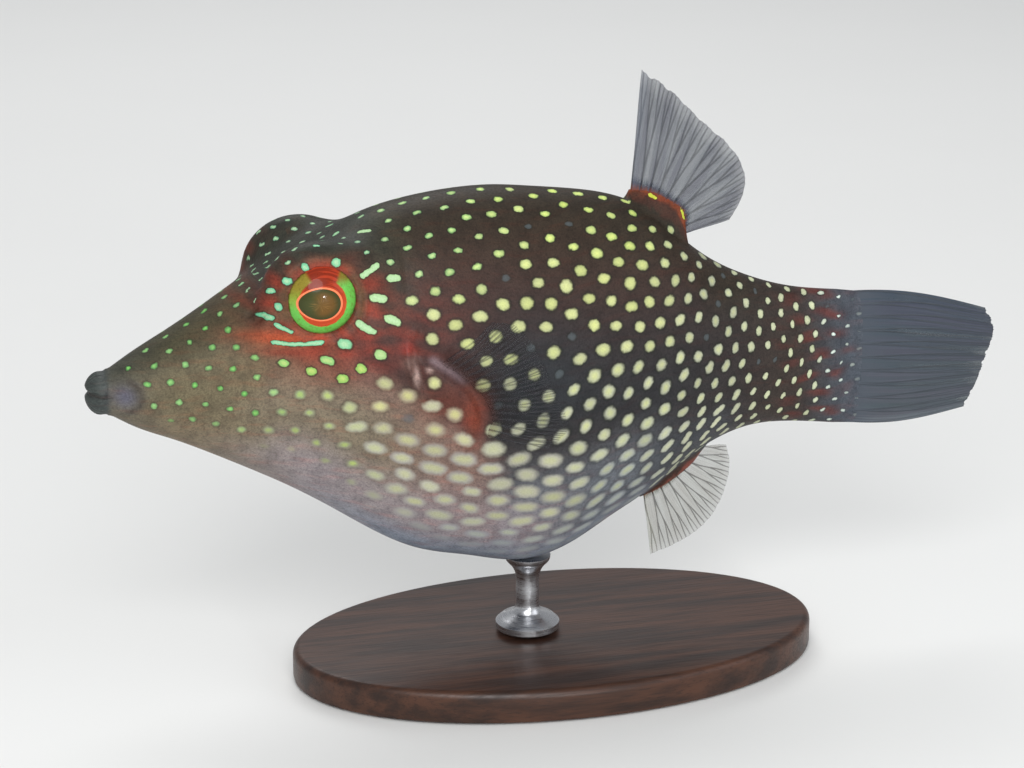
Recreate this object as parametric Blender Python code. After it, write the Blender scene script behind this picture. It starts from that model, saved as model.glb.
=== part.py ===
# A spotted sharp-nosed puffer, life size, swimming level on a small display stand.
# +Z is up. The head points to -X and the fish's left side faces -Y. The origin is on the
# floor under the middle of the fish's length. Every size below is in millimetres.

import math

import bmesh
import bpy
import numpy as np

MM = 0.001
GAP = 0.3  # between neighbouring pieces
CUT_CLEARANCE = 0.345  # off the body: a little over the gap, since flat facets cut corners

# Driving sizes
TOTAL_LENGTH = 86.2
AXIS_HEIGHT = 30.0  # of the mouth above the floor
HEAD_START, HEAD_END, TRUNK_END, STEM_END = 1.9, 28.9, 58.0, 70.2  # behind the snout tip

# The body's outline. Each row: distance behind the snout tip, back above the axis, belly
# below it, half width, and how full the section is above and below its widest level.
STATIONS = (
    (1.9, 1.8, 1.9, 1.8, 2.0, 2.0),
    (4.4, 3.4, 3.4, 2.9, 2.0, 2.0),
    (7.4, 5.1, 4.7, 3.8, 2.0, 2.0),
    (10.4, 6.9, 6.1, 4.7, 2.0, 2.0),
    (13.9, 9.1, 7.9, 5.6, 2.1, 2.0),
    (17.4, 11.0, 9.8, 6.5, 2.2, 2.0),
    (21.4, 12.9, 12.3, 7.4, 2.2, 2.0),
    (25.4, 14.75, 15.0, 8.3, 2.0, 2.0),
    (29.4, 15.8, 17.1, 9.0, 1.9, 2.0),
    (34.4, 16.4, 18.3, 9.5, 1.8, 2.05),
    (37.4, 16.4, 19.0, 9.6, 1.8, 2.05),
    (40.4, 16.1, 19.1, 9.5, 1.8, 2.05),
    (44.4, 15.6, 17.8, 9.1, 1.8, 2.0),
    (47.9, 14.9, 15.8, 8.4, 1.8, 1.95),
    (51.4, 13.3, 13.8, 7.5, 1.85, 1.9),
    (54.4, 10.8, 11.5, 6.6, 1.9, 1.9),
    (57.4, 8.4, 9.7, 5.5, 1.9, 1.9),
    (61.4, 6.3, 8.3, 4.2, 1.95, 1.95),
    (65.4, 5.0, 8.2, 3.0, 2.0, 2.0),
    (70.2, 4.3, 8.8, 1.4, 2.2, 2.2),
)

# Each eye is a flattened ball under a dome of skin that stands proud of the head.
EYE_BEHIND_SNOUT, EYE_ABOVE_AXIS = 20.15, 8.85
DOME_OUT, DOME_RADII, DOME_BLEND = 4.7, (5.1, 2.7, 4.8), 2.2
DOME_SEARCH = 6.0  # the domes stand no further out of the plain body than this
EYE_OUT, EYE_RADIUS, EYE_HALF_DEPTH = 5.4, 3.45, 2.65
LID_RADIUS, LID_THICKNESS, LID_OUT = 3.1, 0.45, 7.0

# Points round the body, and rings along each length of it
COLUMNS = 44
SNOUT_RINGS, DOME_RINGS, CHEEK_RINGS, TRUNK_RINGS, STEM_RINGS, CUTTER_RINGS = 7, 14, 3, 18, 8, 64
DOME_MARGIN = 1.0  # ahead of and behind the domes, over which the rings still lie close
SIDE_POINTS = 400  # tried in the search for a place on the body's side


def natural_spline(xs, ys):
    """The smooth curve through the points, as a function of x."""
    xs, ys = np.asarray(xs, float), np.asarray(ys, float)
    steps = np.diff(xs)
    slopes = np.diff(ys) / steps
    system = np.eye(len(xs))
    right = np.zeros(len(xs))
    for i in range(1, len(xs) - 1):
        system[i, i - 1 : i + 2] = steps[i - 1], 2 * (steps[i - 1] + steps[i]), steps[i]
        right[i] = 6 * (slopes[i] - slopes[i - 1])
    bends = np.linalg.solve(system, right)

    def curve(x):
        i = np.clip(np.searchsorted(xs, x) - 1, 0, len(steps) - 1)
        a, b, h = xs[i + 1] - x, x - xs[i], steps[i]
        curved = (bends[i] * a**3 + bends[i + 1] * b**3) / (6 * h)
        straight = (ys[i] / h - bends[i] * h / 6) * a + (ys[i + 1] / h - bends[i + 1] * h / 6) * b
        return curved + straight

    return curve


PROFILE = [natural_spline([row[0] for row in STATIONS], column) for column in list(zip(*STATIONS))[1:]]


def through(points):
    """The smooth curve through the points, as a function of the share of its length."""
    points = np.asarray(points, float)
    lengths = np.concatenate([[0], np.cumsum(np.linalg.norm(np.diff(points, axis=0), axis=1))])
    curves = [natural_spline(lengths / lengths[-1], column) for column in points.T]
    return lambda share: np.stack([curve(np.asarray(share, float)) for curve in curves], axis=-1)


def smooth_min(a, b, blend):
    near = np.maximum(blend - np.abs(a - b), 0) / blend
    return np.minimum(a, b) - near * near * blend / 4


def reach_with_domes(behind, level, plain, sine, cosine):
    """How far the skin reaches from the body's centre line where the eyes' domes blend into it."""
    reaches = plain[:, None] + np.linspace(0, DOME_SEARCH, 90)
    field = reaches - plain[:, None]
    for side in (-1, 1):
        along = (behind - EYE_BEHIND_SNOUT) / DOME_RADII[0]
        out = (reaches * sine[:, None] - side * DOME_OUT) / DOME_RADII[1]
        up = (level + reaches * cosine[:, None] - EYE_ABOVE_AXIS) / DOME_RADII[2]
        dome = (np.sqrt(along**2 + out**2 + up**2) - 1) * DOME_RADII[1]
        field = smooth_min(field, dome, DOME_BLEND)
    last = field.shape[1] - 2 - np.argmax(field[:, -2::-1] <= 0, axis=1)
    rows = np.arange(len(plain))
    inner, outer = field[rows, last], field[rows, last + 1]
    step = reaches[rows, last + 1] - reaches[rows, last]
    return reaches[rows, last] + step * inner / (inner - outer)


def body_ring(behind, angles, grow=0.0):
    """Points round the body at one distance behind the snout tip. Angle 0 is the back, and a
    quarter turn faces +Y."""
    back, belly, half, upper, lower = (curve(behind) for curve in PROFILE)
    level, height = (back - belly) / 2, (back + belly) / 2
    sine, cosine = np.sin(angles), np.cos(angles)
    fullness = np.where(cosine >= 0, upper, lower)
    reach = (np.abs(sine / half) ** fullness + np.abs(cosine / height) ** fullness) ** (-1 / fullness)
    if abs(behind - EYE_BEHIND_SNOUT) < DOME_RADII[0] + DOME_BLEND:
        reach = reach_with_domes(behind, level, reach, sine, cosine)
    reach = reach + grow
    x = np.full_like(reach, behind - TOTAL_LENGTH / 2)
    return np.stack([x, reach * sine, AXIS_HEIGHT + level + reach * cosine], axis=-1)


def body_side(behind, above, side):
    """The point of the body's side at a distance behind the snout tip and a height above the axis."""
    ring = body_ring(behind, np.linspace(0, math.pi, SIDE_POINTS + 2)[1:-1])
    nearest = np.argmin(np.abs(ring[:, 2] - AXIS_HEIGHT - above))
    return ring[nearest] * (1, side, 1)


def material(name, colour, roughness, metallic=0.0):
    made = bpy.data.materials.get(name)
    if made is None:
        made = bpy.data.materials.new(name)
        made.use_nodes = True
        shader = made.node_tree.nodes["Principled BSDF"]
        shader.inputs["Base Color"].default_value = (*colour, 1)
        shader.inputs["Roughness"].default_value = roughness
        shader.inputs["Metallic"].default_value = metallic
        made.diffuse_color = (*colour, 1)
    return made


def dark_skin():
    return material("spotted_skin", (0.09, 0.05, 0.06), 0.5)


def face_skin():
    return material("face_skin", (0.30, 0.17, 0.14), 0.5)


def lip_skin():
    return material("lip_skin", (0.16, 0.15, 0.20), 0.45)


def red_flesh():
    return material("fin_root", (0.38, 0.07, 0.03), 0.5)


def membrane():
    return material("fin_membrane", (0.33, 0.36, 0.40), 0.4)


def tail_membrane():
    return material("tail_membrane", (0.12, 0.12, 0.18), 0.4)


def solid(name, points, faces, finish=None):
    """A closed mesh object from points in millimetres, its faces turned outwards."""
    mesh = bpy.data.meshes.new(name)
    mesh.from_pydata([tuple(p) for p in np.asarray(points, float) * MM], [], faces)
    shape = bmesh.new()
    shape.from_mesh(mesh)
    bmesh.ops.recalc_face_normals(shape, faces=shape.faces)
    if shape.calc_volume(signed=True) < 0:
        bmesh.ops.reverse_faces(shape, faces=shape.faces)
    shape.to_mesh(mesh)
    shape.free()
    made = bpy.data.objects.new(name, mesh)
    bpy.context.scene.collection.objects.link(made)
    if finish is not None:
        mesh.materials.append(finish)
        mesh.shade_smooth()
        mesh.set_sharp_from_angle(angle=math.radians(40))
    return made


def loft(name, rings, finish=None):
    """A closed solid through rings of equally many points, with a flat face at each end."""
    count = len(rings[0])
    faces = [tuple(reversed(range(count)))]
    for i in range(len(rings) - 1):
        for j in range(count):
            k = (j + 1) % count
            faces.append((i * count + j, i * count + k, (i + 1) * count + k, (i + 1) * count + j))
    faces.append(tuple(range((len(rings) - 1) * count, len(rings) * count)))
    return solid(name, np.concatenate(rings), faces, finish)


def sheet(name, middle, half, across, finish=None):
    """A closed sheet of varying thickness about a grid of points. Its two faces are split into
    triangles alike."""
    rows, columns = half.shape
    offset = across * half[..., None]
    points = np.concatenate([(middle + offset).reshape(-1, 3), (middle - offset).reshape(-1, 3)])
    other = rows * columns
    faces = []
    for i in range(rows - 1):
        for j in range(columns - 1):
            a, b = i * columns + j, i * columns + j + 1
            c, d = b + columns, a + columns
            faces += [(a, b, c), (a, c, d)]
            faces += [(other + c, other + b, other + a), (other + d, other + c, other + a)]
    rim = list(range(columns))
    rim += [i * columns + columns - 1 for i in range(1, rows)]
    rim += [(rows - 1) * columns + j for j in range(columns - 2, -1, -1)]
    rim += [i * columns for i in range(rows - 2, 0, -1)]
    for p, q in zip(rim, rim[1:] + rim[:1]):
        faces += [(p, other + p, other + q), (p, other + q, q)]
    return solid(name, points, faces, finish)


def normals(middle):
    """Unit normals of a grid of points."""
    along, round_ = np.gradient(middle, axis=0), np.gradient(middle, axis=1)
    found = np.cross(along, round_)
    return found / np.linalg.norm(found, axis=-1, keepdims=True)


def as_cutter(made):
    made.hide_render = True
    made.display_type = "WIRE"
    return made


def largest_surface(mesh):
    """Leaves a mesh only its largest closed surface."""
    shape = bmesh.new()
    shape.from_mesh(mesh)
    left, groups = set(shape.verts), []
    while left:
        group, edge = set(), [left.pop()]
        while edge:
            vertex = edge.pop()
            group.add(vertex)
            linked = {e.other_vert(vertex) for e in vertex.link_edges} & left
            left -= linked
            edge += linked
        groups.append(group)
    keep = max(groups, key=len)
    bmesh.ops.delete(shape, geom=[v for v in shape.verts if v not in keep], context="VERTS")
    shape.to_mesh(mesh)
    shape.free()


def boolean(base, others, operation):
    """Joins the others to the base, or cuts them from it, in one step. Only cutters are left over."""
    group = bpy.data.collections.new(base.name + "_" + operation.lower())
    bpy.context.scene.collection.children.link(group)
    for other in others:
        group.objects.link(other)
    step = base.modifiers.new(operation.title(), "BOOLEAN")
    step.operation = operation
    step.operand_type = "COLLECTION"
    step.collection = group
    step.solver = "EXACT"
    graph = bpy.context.evaluated_depsgraph_get()
    made = bpy.data.meshes.new_from_object(base.evaluated_get(graph))
    base.modifiers.clear()
    old, base.data = base.data, made
    bpy.data.meshes.remove(old)
    largest_surface(made)
    bpy.data.collections.remove(group)
    for other in others:
        if not other.hide_render:
            bpy.data.objects.remove(other)
    return base


def ellipsoid(name, centre, radii, columns, rows, finish=None):
    """An ellipsoid with its poles on the Y axis."""
    points = [np.add(centre, (0, -radii[1], 0))]
    for i in range(1, rows):
        turn = math.pi * i / rows
        for j in range(columns):
            angle = 2 * math.pi * j / columns
            unit = (math.sin(turn) * math.cos(angle), -math.cos(turn), math.sin(turn) * math.sin(angle))
            points.append(np.add(centre, np.multiply(unit, radii)))
    points.append(np.add(centre, (0, radii[1], 0)))
    last = len(points) - 1
    faces = []
    for j in range(columns):
        k = (j + 1) % columns
        faces += [(0, 1 + j, 1 + k), (last, last - columns + k, last - columns + j)]
        for i in range(rows - 2):
            a, b = 1 + i * columns, 1 + (i + 1) * columns
            faces.append((a + j, b + j, b + k, a + k))
    return solid(name, points, faces, finish)


def ring_tube(name, centre, axis, radius, tube, columns, sides):
    """A ring of round section about an axis."""
    axis = np.asarray(axis, float) / np.linalg.norm(axis)
    first = np.cross(axis, (0.0, 0.0, 1.0))
    first /= np.linalg.norm(first)
    second = np.cross(axis, first)
    points, faces = [], []
    for i in range(columns):
        angle = 2 * math.pi * i / columns
        out = math.cos(angle) * first + math.sin(angle) * second
        for j in range(sides):
            turn = 2 * math.pi * j / sides
            points.append(centre + out * (radius + tube * math.cos(turn)) + axis * tube * math.sin(turn))
            a, b = i * sides, ((i + 1) % columns) * sides
            faces.append((a + j, a + (j + 1) % sides, b + (j + 1) % sides, b + j))
    return solid(name, points, faces)


ANGLES = np.linspace(0, 2 * math.pi, COLUMNS, endpoint=False)


def body_length(name, stops, finish):
    """One length of the body, with a flat face at each end."""
    return loft(name, [body_ring(behind, ANGLES) for behind in stops], finish)


def whole_body_cutter():
    """The whole body grown by the gap, which whatever grows from the body is cut back to."""
    stops = np.linspace(HEAD_START, STEM_END, CUTTER_RINGS)
    return as_cutter(loft("cutter_body", [body_ring(behind, ANGLES, CUT_CLEARANCE) for behind in stops]))


# Head: lids, nostrils and gill openings
NOSTRIL_BEHIND_SNOUT, NOSTRIL_ABOVE_AXIS = 14.6, 7.4
NOSTRIL_RADIUS, NOSTRIL_TUBE, NOSTRIL_BORE = 0.42, 0.24, 0.2
NOSTRIL_FORWARD, NOSTRIL_UP = 0.35, 0.55  # how far its opening turns for each millimetre outwards
GILL_BEHIND_SNOUT, GILL_TOP, GILL_BOTTOM, GILL_SLANT = 27.7, 4.7, 0.9, 0.7
GILL_SLIT_WIDTH, GILL_SLIT_DEPTH, GILL_SLIT_SHIFT = 0.55, 1.1, 0.25
GILL_FLAP_WIDTH, GILL_FLAP_HEIGHT, GILL_FLAP_ROOT, GILL_FLAP_SHIFT = 0.9, 0.42, 0.6, -0.55
GILL_CUT_HEIGHT = 1.0  # above the skin, where the slit's cutter starts
GILL_END_WIDTH, GILL_END_HEIGHT = 0.35, 0.3  # at a strip's ends, as shares of its middle
GILL_RINGS = 9


def eye_centre(side):
    return np.array((EYE_BEHIND_SNOUT - TOTAL_LENGTH / 2, side * EYE_OUT, AXIS_HEIGHT + EYE_ABOVE_AXIS))


def lid(side):
    centre = eye_centre(side)
    centre[1] = side * LID_OUT
    return ring_tube("lid", centre, (0, side, 0), LID_RADIUS, LID_THICKNESS, 28, 6)


def nostril_rim(side):
    centre = body_side(NOSTRIL_BEHIND_SNOUT, NOSTRIL_ABOVE_AXIS, side)
    axis = (-NOSTRIL_FORWARD, side, NOSTRIL_UP)
    return ring_tube("nostril", centre, axis, NOSTRIL_RADIUS, NOSTRIL_TUBE, 10, 5)


def nostril_pit(side):
    centre = body_side(NOSTRIL_BEHIND_SNOUT, NOSTRIL_ABOVE_AXIS, side)
    radii = (NOSTRIL_BORE, NOSTRIL_RADIUS, NOSTRIL_BORE)
    return as_cutter(ellipsoid("pit", centre, radii, 10, 6))


def gill_strip(name, side, shift, outer, inner, width):
    """A crescent strip along the gill opening, from outer above the skin to inner below it."""
    rings = []
    for share in np.linspace(0, 1, GILL_RINGS):
        above = GILL_TOP + (GILL_BOTTOM - GILL_TOP) * share
        bulge = math.sin(math.pi * share)
        skin = body_side(GILL_BEHIND_SNOUT + shift + GILL_SLANT * share, above, side)
        half = width / 2 * (GILL_END_WIDTH + (1 - GILL_END_WIDTH) * bulge)
        reach = outer * (GILL_END_HEIGHT + (1 - GILL_END_HEIGHT) * bulge)
        corners = ((-half, reach), (half, reach), (half, -inner), (-half, -inner))
        rings.append(np.array([skin + (along, side * out, 0) for along, out in corners]))
    return loft(name, rings)


def gill_flap(side):
    return gill_strip("flap", side, GILL_FLAP_SHIFT, GILL_FLAP_HEIGHT, GILL_FLAP_ROOT, GILL_FLAP_WIDTH)


def gill_slit(side):
    shape = (GILL_SLIT_SHIFT, GILL_CUT_HEIGHT, GILL_SLIT_DEPTH, GILL_SLIT_WIDTH)
    return as_cutter(gill_strip("slit", side, *shape))


def eye_socket(side):
    radii = (EYE_RADIUS + GAP, EYE_HALF_DEPTH + GAP, EYE_RADIUS + GAP)
    return as_cutter(ellipsoid("socket", eye_centre(side), radii, 28, 12))


def make_head():
    reach = DOME_RADII[0] + DOME_MARGIN
    first, last = EYE_BEHIND_SNOUT - reach, EYE_BEHIND_SNOUT + reach
    snout = np.linspace(HEAD_START, first, SNOUT_RINGS)[:-1]
    cheek = np.linspace(last, HEAD_END, CHEEK_RINGS)[1:]
    stops = np.concatenate([snout, np.linspace(first, last, DOME_RINGS), cheek])
    head = body_length("head", stops, face_skin())
    for makers, operation in (
        ((lid, nostril_rim, gill_flap), "UNION"),
        ((eye_socket, nostril_pit, gill_slit), "DIFFERENCE"),
    ):
        boolean(head, [make(side) for side in (-1, 1) for make in makers], operation)


def make_eyes():
    for side, name in ((-1, "left_eye"), (1, "right_eye")):
        radii = (EYE_RADIUS, EYE_HALF_DEPTH, EYE_RADIUS)
        finish = material("eye", (0.45, 0.16, 0.04), 0.12)
        ellipsoid(name, eye_centre(side), radii, 24, 12, finish)


# Lips: two half bulbs ahead of the snout's flat end, which meet at the line of the mouth
LIP_HALF_WIDTH, UPPER_LIP_HEIGHT, LOWER_LIP_HEIGHT = 1.75, 1.8, 2.0
MOUTH_LINE = 0.1  # above the axis
LIP_SWELL = 0.12  # wider than the snout's end, part of the way forward
LIP_FRONT = 0.3  # of its full size, the lip's blunt front
LIP_BLUNTNESS = 0.6  # below 1 the lip keeps its width and turns in late
LIP_RINGS, LIP_POINTS = 7, 15
MOUTH_TURN_IN = 0.35  # how far the lips part at their front, where they turn in to the mouth


def make_lip(name, height, turn):
    end = HEAD_START - GAP
    arc = np.linspace(0, math.pi, LIP_POINTS)
    rings = []
    for share in np.linspace(0, 1, LIP_RINGS):
        size = LIP_FRONT + (1 - LIP_FRONT) * math.cos(share * math.pi / 2) ** LIP_BLUNTNESS
        size = size * (1 + LIP_SWELL * math.sin(math.pi * min(share * 1.4, 1)))
        inner = MOUTH_TURN_IN * share**3
        y = LIP_HALF_WIDTH * size * np.cos(arc)
        z = inner + (height * size - inner) * np.sin(arc)
        x = np.full_like(y, end * (1 - share) - TOTAL_LENGTH / 2)
        rings.append(np.stack([x, y, AXIS_HEIGHT + MOUTH_LINE + turn * (GAP / 2 + z)], axis=-1))
    loft(name, rings, lip_skin())


# Fins. A fin's root and tip curves are points behind the snout tip and above the axis.
FIN_HALF_THICKNESS, TIP_HALF_THICKNESS, RAY_RISE = 0.25, 0.15, 0.16
TIP_SHARE = 0.3  # of a ray's length, over which the fin thins to its edge
ROOT_SHARE = 0.25  # of a ray's length, over which its root thins to the fin's own thickness
RAY_FADE = 0.6  # of its rise, lost by the ray's tip
COLUMNS_PER_RAY = 3
FIN_ROWS, CAUDAL_ROWS, PECTORAL_ROWS = 8, 10, 7
LINE_POINTS = 9  # along an upright fin's root and tip
LOBE_COLUMNS = 13

DORSAL_INNER = ((49.2, 12.6), (51.2, 11.0), (53.0, 9.0), (53.6, 7.4))
DORSAL_RIM = ((49.6, 15.2), (51.8, 15.0), (53.9, 14.0), (55.5, 12.6), (55.6, 11.2), (55.2, 10.3))
DORSAL_TIP = ((51.1, 26.0), (53.9, 24.0), (56.9, 21.0), (59.6, 18.4), (60.7, 15.6), (59.3, 11.9))
ANAL_INNER = ((52.0, -11.0), (54.5, -9.2), (56.5, -7.4))
ANAL_RIM = ((51.2, -14.6), (53.6, -13.7), (55.3, -12.6), (56.6, -11.5), (57.5, -10.2))
ANAL_TIP = ((52.3, -20.3), (55.4, -19.0), (58.6, -16.9), (60.0, -14.6), (60.4, -11.8), (60.0, -10.4))
CAUDAL_TIP = ((84.0, -8.6), (85.3, -6.4), (85.9, -3.2), (86.1, -0.4), (85.2, 1.5))
DORSAL_RAYS, ANAL_RAYS, CAUDAL_RAYS, PECTORAL_RAYS = 10, 9, 11, 15
DORSAL_SWAY, ANAL_SWAY, CAUDAL_SWAY = 0.9, -0.8, 0.8  # to the side at the tip
SWAY_START, SWAY_TURNS = 0.2, 1.5  # of the wave it makes from the front ray to the last, in half waves
UPRIGHT_ROOT_HALF, CAUDAL_ROOT_HALF, PECTORAL_ROOT_HALF = 0.3, 1.05, 0.34  # half thickness at the root
CAUDAL_BOW = 1.6  # how far the tail fin's outer rays bow apart
CAUDAL_INSET = 0.25  # of its outer rays, below the tail stem's back and above its belly
ROOT_CLEARANCE = 0.15  # fins start this far inside the lobe's grown rim and are cut back to it

# A lobe is the fleshy root of a fin. Each row of an upright fin's lobe is a share of the way
# from its inner curve to its rim, and how much of the extra thickness inside is left there.
LOBE_ROWS = ((0.0, 1.0), (0.3, 0.95), (0.55, 0.82), (0.75, 0.62), (0.9, 0.36), (1.0, 0.0))
LOBE_HALF_INNER, LOBE_HALF_RIM = 1.5, 0.45


def ray_ridges(shares, rays):
    """1 on each ray's line and 0 midway between two."""
    return (0.5 + 0.5 * np.cos(2 * math.pi * shares * (rays - 1))) ** 2


def fin_columns(rays):
    return np.linspace(0, 1, (rays - 1) * COLUMNS_PER_RAY + 1)


def fin_thickness(rows, ridge, root_half):
    """Half thickness from root to tip: thick at the root, thin at the edge, raised along the rays."""
    along = np.linspace(0, 1, rows)[:, None]
    full = np.minimum((1 - along) / TIP_SHARE, 1)
    web = TIP_HALF_THICKNESS + (FIN_HALF_THICKNESS - TIP_HALF_THICKNESS) * full
    web = web + (root_half - FIN_HALF_THICKNESS) * np.maximum(1 - along / ROOT_SHARE, 0) ** 2
    return web + RAY_RISE * ridge * (1 - RAY_FADE * along)


def in_middle_plane(name, behind, above, out, half, finish):
    """A sheet in the fish's own middle plane, moved to the side by out."""
    middle = np.stack([behind - TOTAL_LENGTH / 2, out, AXIS_HEIGHT + above], axis=-1)
    across = np.zeros_like(middle)
    across[..., 1] = 1
    return sheet(name, middle, half, across, finish)


def upright_fin(name, root, tip, rays, rows, root_half, sway, bow, finish):
    """A fin in the fish's own middle plane that waves a little to the side."""
    shares = fin_columns(rays)
    starts, ends = through(root)(shares), through(tip)(shares)
    along = np.linspace(0, 1, rows)[:, None]
    behind = starts[:, 0] + (ends - starts)[:, 0] * along
    above = starts[:, 1] + (ends - starts)[:, 1] * along
    above = above + bow * np.sin(math.pi * along) * (shares - 0.5)
    out = sway * along**1.5 * np.sin(math.pi * (SWAY_START + SWAY_TURNS * shares))
    half = fin_thickness(rows, ray_ridges(shares, rays), root_half)
    return in_middle_plane(name, behind, above, out, half, finish)


def fin_lobe(name, inner, rim, grow=0.0, finish=None):
    """The fleshy root of an upright fin, from a curve inside the body out to its rim."""
    shares = np.linspace(0, 1, LOBE_COLUMNS)
    starts, ends = through(inner)(shares), through(rim)(shares)
    ends = shifted(ends, starts, -grow)
    way, taper = np.array(LOBE_ROWS).T[..., None]
    behind = starts[:, 0] + (ends - starts)[:, 0] * way
    above = starts[:, 1] + (ends - starts)[:, 1] * way
    extra = (LOBE_HALF_INNER - LOBE_HALF_RIM) * taper * np.sin(math.pi * (0.12 + 0.76 * shares))
    return in_middle_plane(name, behind, above, 0 * behind, LOBE_HALF_RIM + extra + grow, finish)


def shifted(points, toward, distance):
    """Points moved a distance towards others, in pairs."""
    points, toward = np.asarray(points, float), np.asarray(toward, float)
    step = toward - points
    return points + step / np.linalg.norm(step, axis=1, keepdims=True) * distance


def sampled(points, count):
    return through(points)(np.linspace(0, 1, count))


def make_upright_fins(body_cutter):
    """The dorsal and anal fins, each with its fleshy root."""
    plans = (
        ("dorsal_fin", DORSAL_INNER, DORSAL_RIM, DORSAL_TIP, DORSAL_RAYS, DORSAL_SWAY),
        ("anal_fin", ANAL_INNER, ANAL_RIM, ANAL_TIP, ANAL_RAYS, ANAL_SWAY),
    )
    for name, inner, rim, tip, rays, sway in plans:
        lobe = fin_lobe(name + "_base", inner, rim, 0.0, red_flesh())
        boolean(lobe, [body_cutter], "DIFFERENCE")
        start = shifted(sampled(rim, LINE_POINTS), sampled(inner, LINE_POINTS), ROOT_CLEARANCE)
        end = sampled(tip, LINE_POINTS)
        fin = upright_fin(name, start, end, rays, FIN_ROWS, UPRIGHT_ROOT_HALF, sway, 0.0, membrane())
        grown = as_cutter(fin_lobe(name + "_cutter", inner, rim, GAP))
        boolean(fin, [grown, body_cutter], "DIFFERENCE")
        bpy.data.objects.remove(grown)


def make_caudal_fin():
    behind = STEM_END + GAP
    top, bottom = PROFILE[0](STEM_END) - CAUDAL_INSET, CAUDAL_INSET - PROFILE[1](STEM_END)
    root = ((behind, bottom), (behind, (bottom - CAUDAL_INSET) / 2), (behind, 0.0), (behind, top))
    shape = (CAUDAL_TIP, CAUDAL_RAYS, CAUDAL_ROWS, CAUDAL_ROOT_HALF, CAUDAL_SWAY, CAUDAL_BOW)
    upright_fin("caudal_fin", root, *shape, tail_membrane())


# Pectoral fins. The base line runs over the side; the rim stands out from it.
PECTORAL_BASE = ((29.5, 3.2), (31.2, 2.0), (32.6, 0.7), (33.5, -0.8), (33.8, -2.4), (33.5, -3.9))
PECTORAL_TIP = (
    (34.0, 7.4), (36.1, 6.9), (37.7, 4.9), (39.0, 2.2), (40.1, -0.5), (40.8, -3.0), (39.0, -4.7),
)
PECTORAL_LIFT, PECTORAL_TIP_OUT = 1.0, 12.3
PECTORAL_TIP_FOLD = 0.9  # how much further in the tips of the outer rays lie, at most about half of it
PECTORAL_LEAN = 1.0  # how far behind its foot the lobe's rim stands
PECTORAL_BILLOW = 0.5  # how far the rays bow outwards
PECTORAL_INSET = 0.02  # of the rim's length, left free of rays at either end
# Each row of the lobe: shares of the lift and of the lean, and its half thickness
PECTORAL_LOBE_ROWS = (
    (-1.2, -0.9, 0.85),
    (-0.2, -0.2, 0.85),
    (0.5, 0.4, 0.75),
    (0.85, 0.8, 0.6),
    (1.0, 1.0, 0.42),
)
RIM_GROWTH = 0.75  # of the growth, by which a grown lobe's rim moves both outwards and back


def pectoral_line(side, lift, lean):
    """The base line raised off the body's side by a lift and moved back by a lean."""
    points = np.array([body_side(*place, side) for place in sampled(PECTORAL_BASE, LOBE_COLUMNS)])
    return points + (lean, side * lift, 0)


def pectoral_lobe(name, side, grow=0.0, finish=None):
    """The fleshy root of a pectoral fin, from under the skin out to its rim."""
    lifts, leans, halves = np.array(PECTORAL_LOBE_ROWS).T
    lifts, leans = PECTORAL_LIFT * lifts, PECTORAL_LEAN * leans
    lifts[-1] += RIM_GROWTH * grow
    leans[-1] += RIM_GROWTH * grow
    middle = np.array([pectoral_line(side, lift, lean) for lift, lean in zip(lifts, leans)])
    ends = np.sin(math.pi * (0.1 + 0.8 * np.linspace(0, 1, LOBE_COLUMNS))) ** 0.5
    return sheet(name, middle, halves[:, None] * ends + grow, normals(middle), finish)


def make_pectoral(side, name, body_cutter):
    lobe = pectoral_lobe(name + "_base", side, 0.0, red_flesh())
    boolean(lobe, [body_cutter], "DIFFERENCE")
    shares = fin_columns(PECTORAL_RAYS)
    rim = pectoral_line(side, PECTORAL_LIFT, PECTORAL_LEAN)
    start = through(rim)(PECTORAL_INSET + (1 - 2 * PECTORAL_INSET) * shares)
    flat = through(PECTORAL_TIP)(shares)
    out = PECTORAL_TIP_OUT - PECTORAL_TIP_FOLD * np.abs(shares - 0.45)
    end = np.stack([flat[:, 0] - TOTAL_LENGTH / 2, side * out, AXIS_HEIGHT + flat[:, 1]], axis=-1)
    along = np.linspace(0, 1, PECTORAL_ROWS)[:, None, None]
    middle = start + (end - start) * along + side * PECTORAL_BILLOW * np.sin(math.pi * along) * (0, 1, 0)
    half = fin_thickness(PECTORAL_ROWS, ray_ridges(shares, PECTORAL_RAYS), PECTORAL_ROOT_HALF)
    fin = sheet(name, middle, half, normals(middle), membrane())
    grown = as_cutter(pectoral_lobe(name + "_cutter", side, GAP))
    boolean(fin, [grown, body_cutter], "DIFFERENCE")
    bpy.data.objects.remove(grown)


# Stand: an oval plate, and one rod up to the lowest part of the belly
PLATE_LENGTH, PLATE_WIDTH, PLATE_THICKNESS, PLATE_EDGE = 50.0, 29.0, 3.2, 0.7
EDGE_CURVE = ((1.0, 0.0), (0.3, 0.3), (0.0, 1.0))  # shares of the rounded edge: inwards and up
PLATE_COLUMNS, ROD_COLUMNS = 48, 20
ROD_BEHIND_SNOUT, ROD_RADIUS = 40.4, 1.1
# The rod's turned ends: radius, and height above the foot's underside or above the belly
FOOT_TURNING = ((3.0, 0.0), (3.0, 0.8), (2.5, 1.2), (1.5, 1.5), (ROD_RADIUS, 2.0))
CUP_TURNING = ((ROD_RADIUS, -2.2), (1.6, -1.3), (2.2, -0.5), (2.2, 1.2))


def oval(length, width, height, columns, x=0.0):
    angles = np.linspace(0, 2 * math.pi, columns, endpoint=False)
    along, across = length / 2 * np.cos(angles), width / 2 * np.sin(angles)
    return np.stack([x + along, across, np.full(columns, height)], axis=-1)


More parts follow.
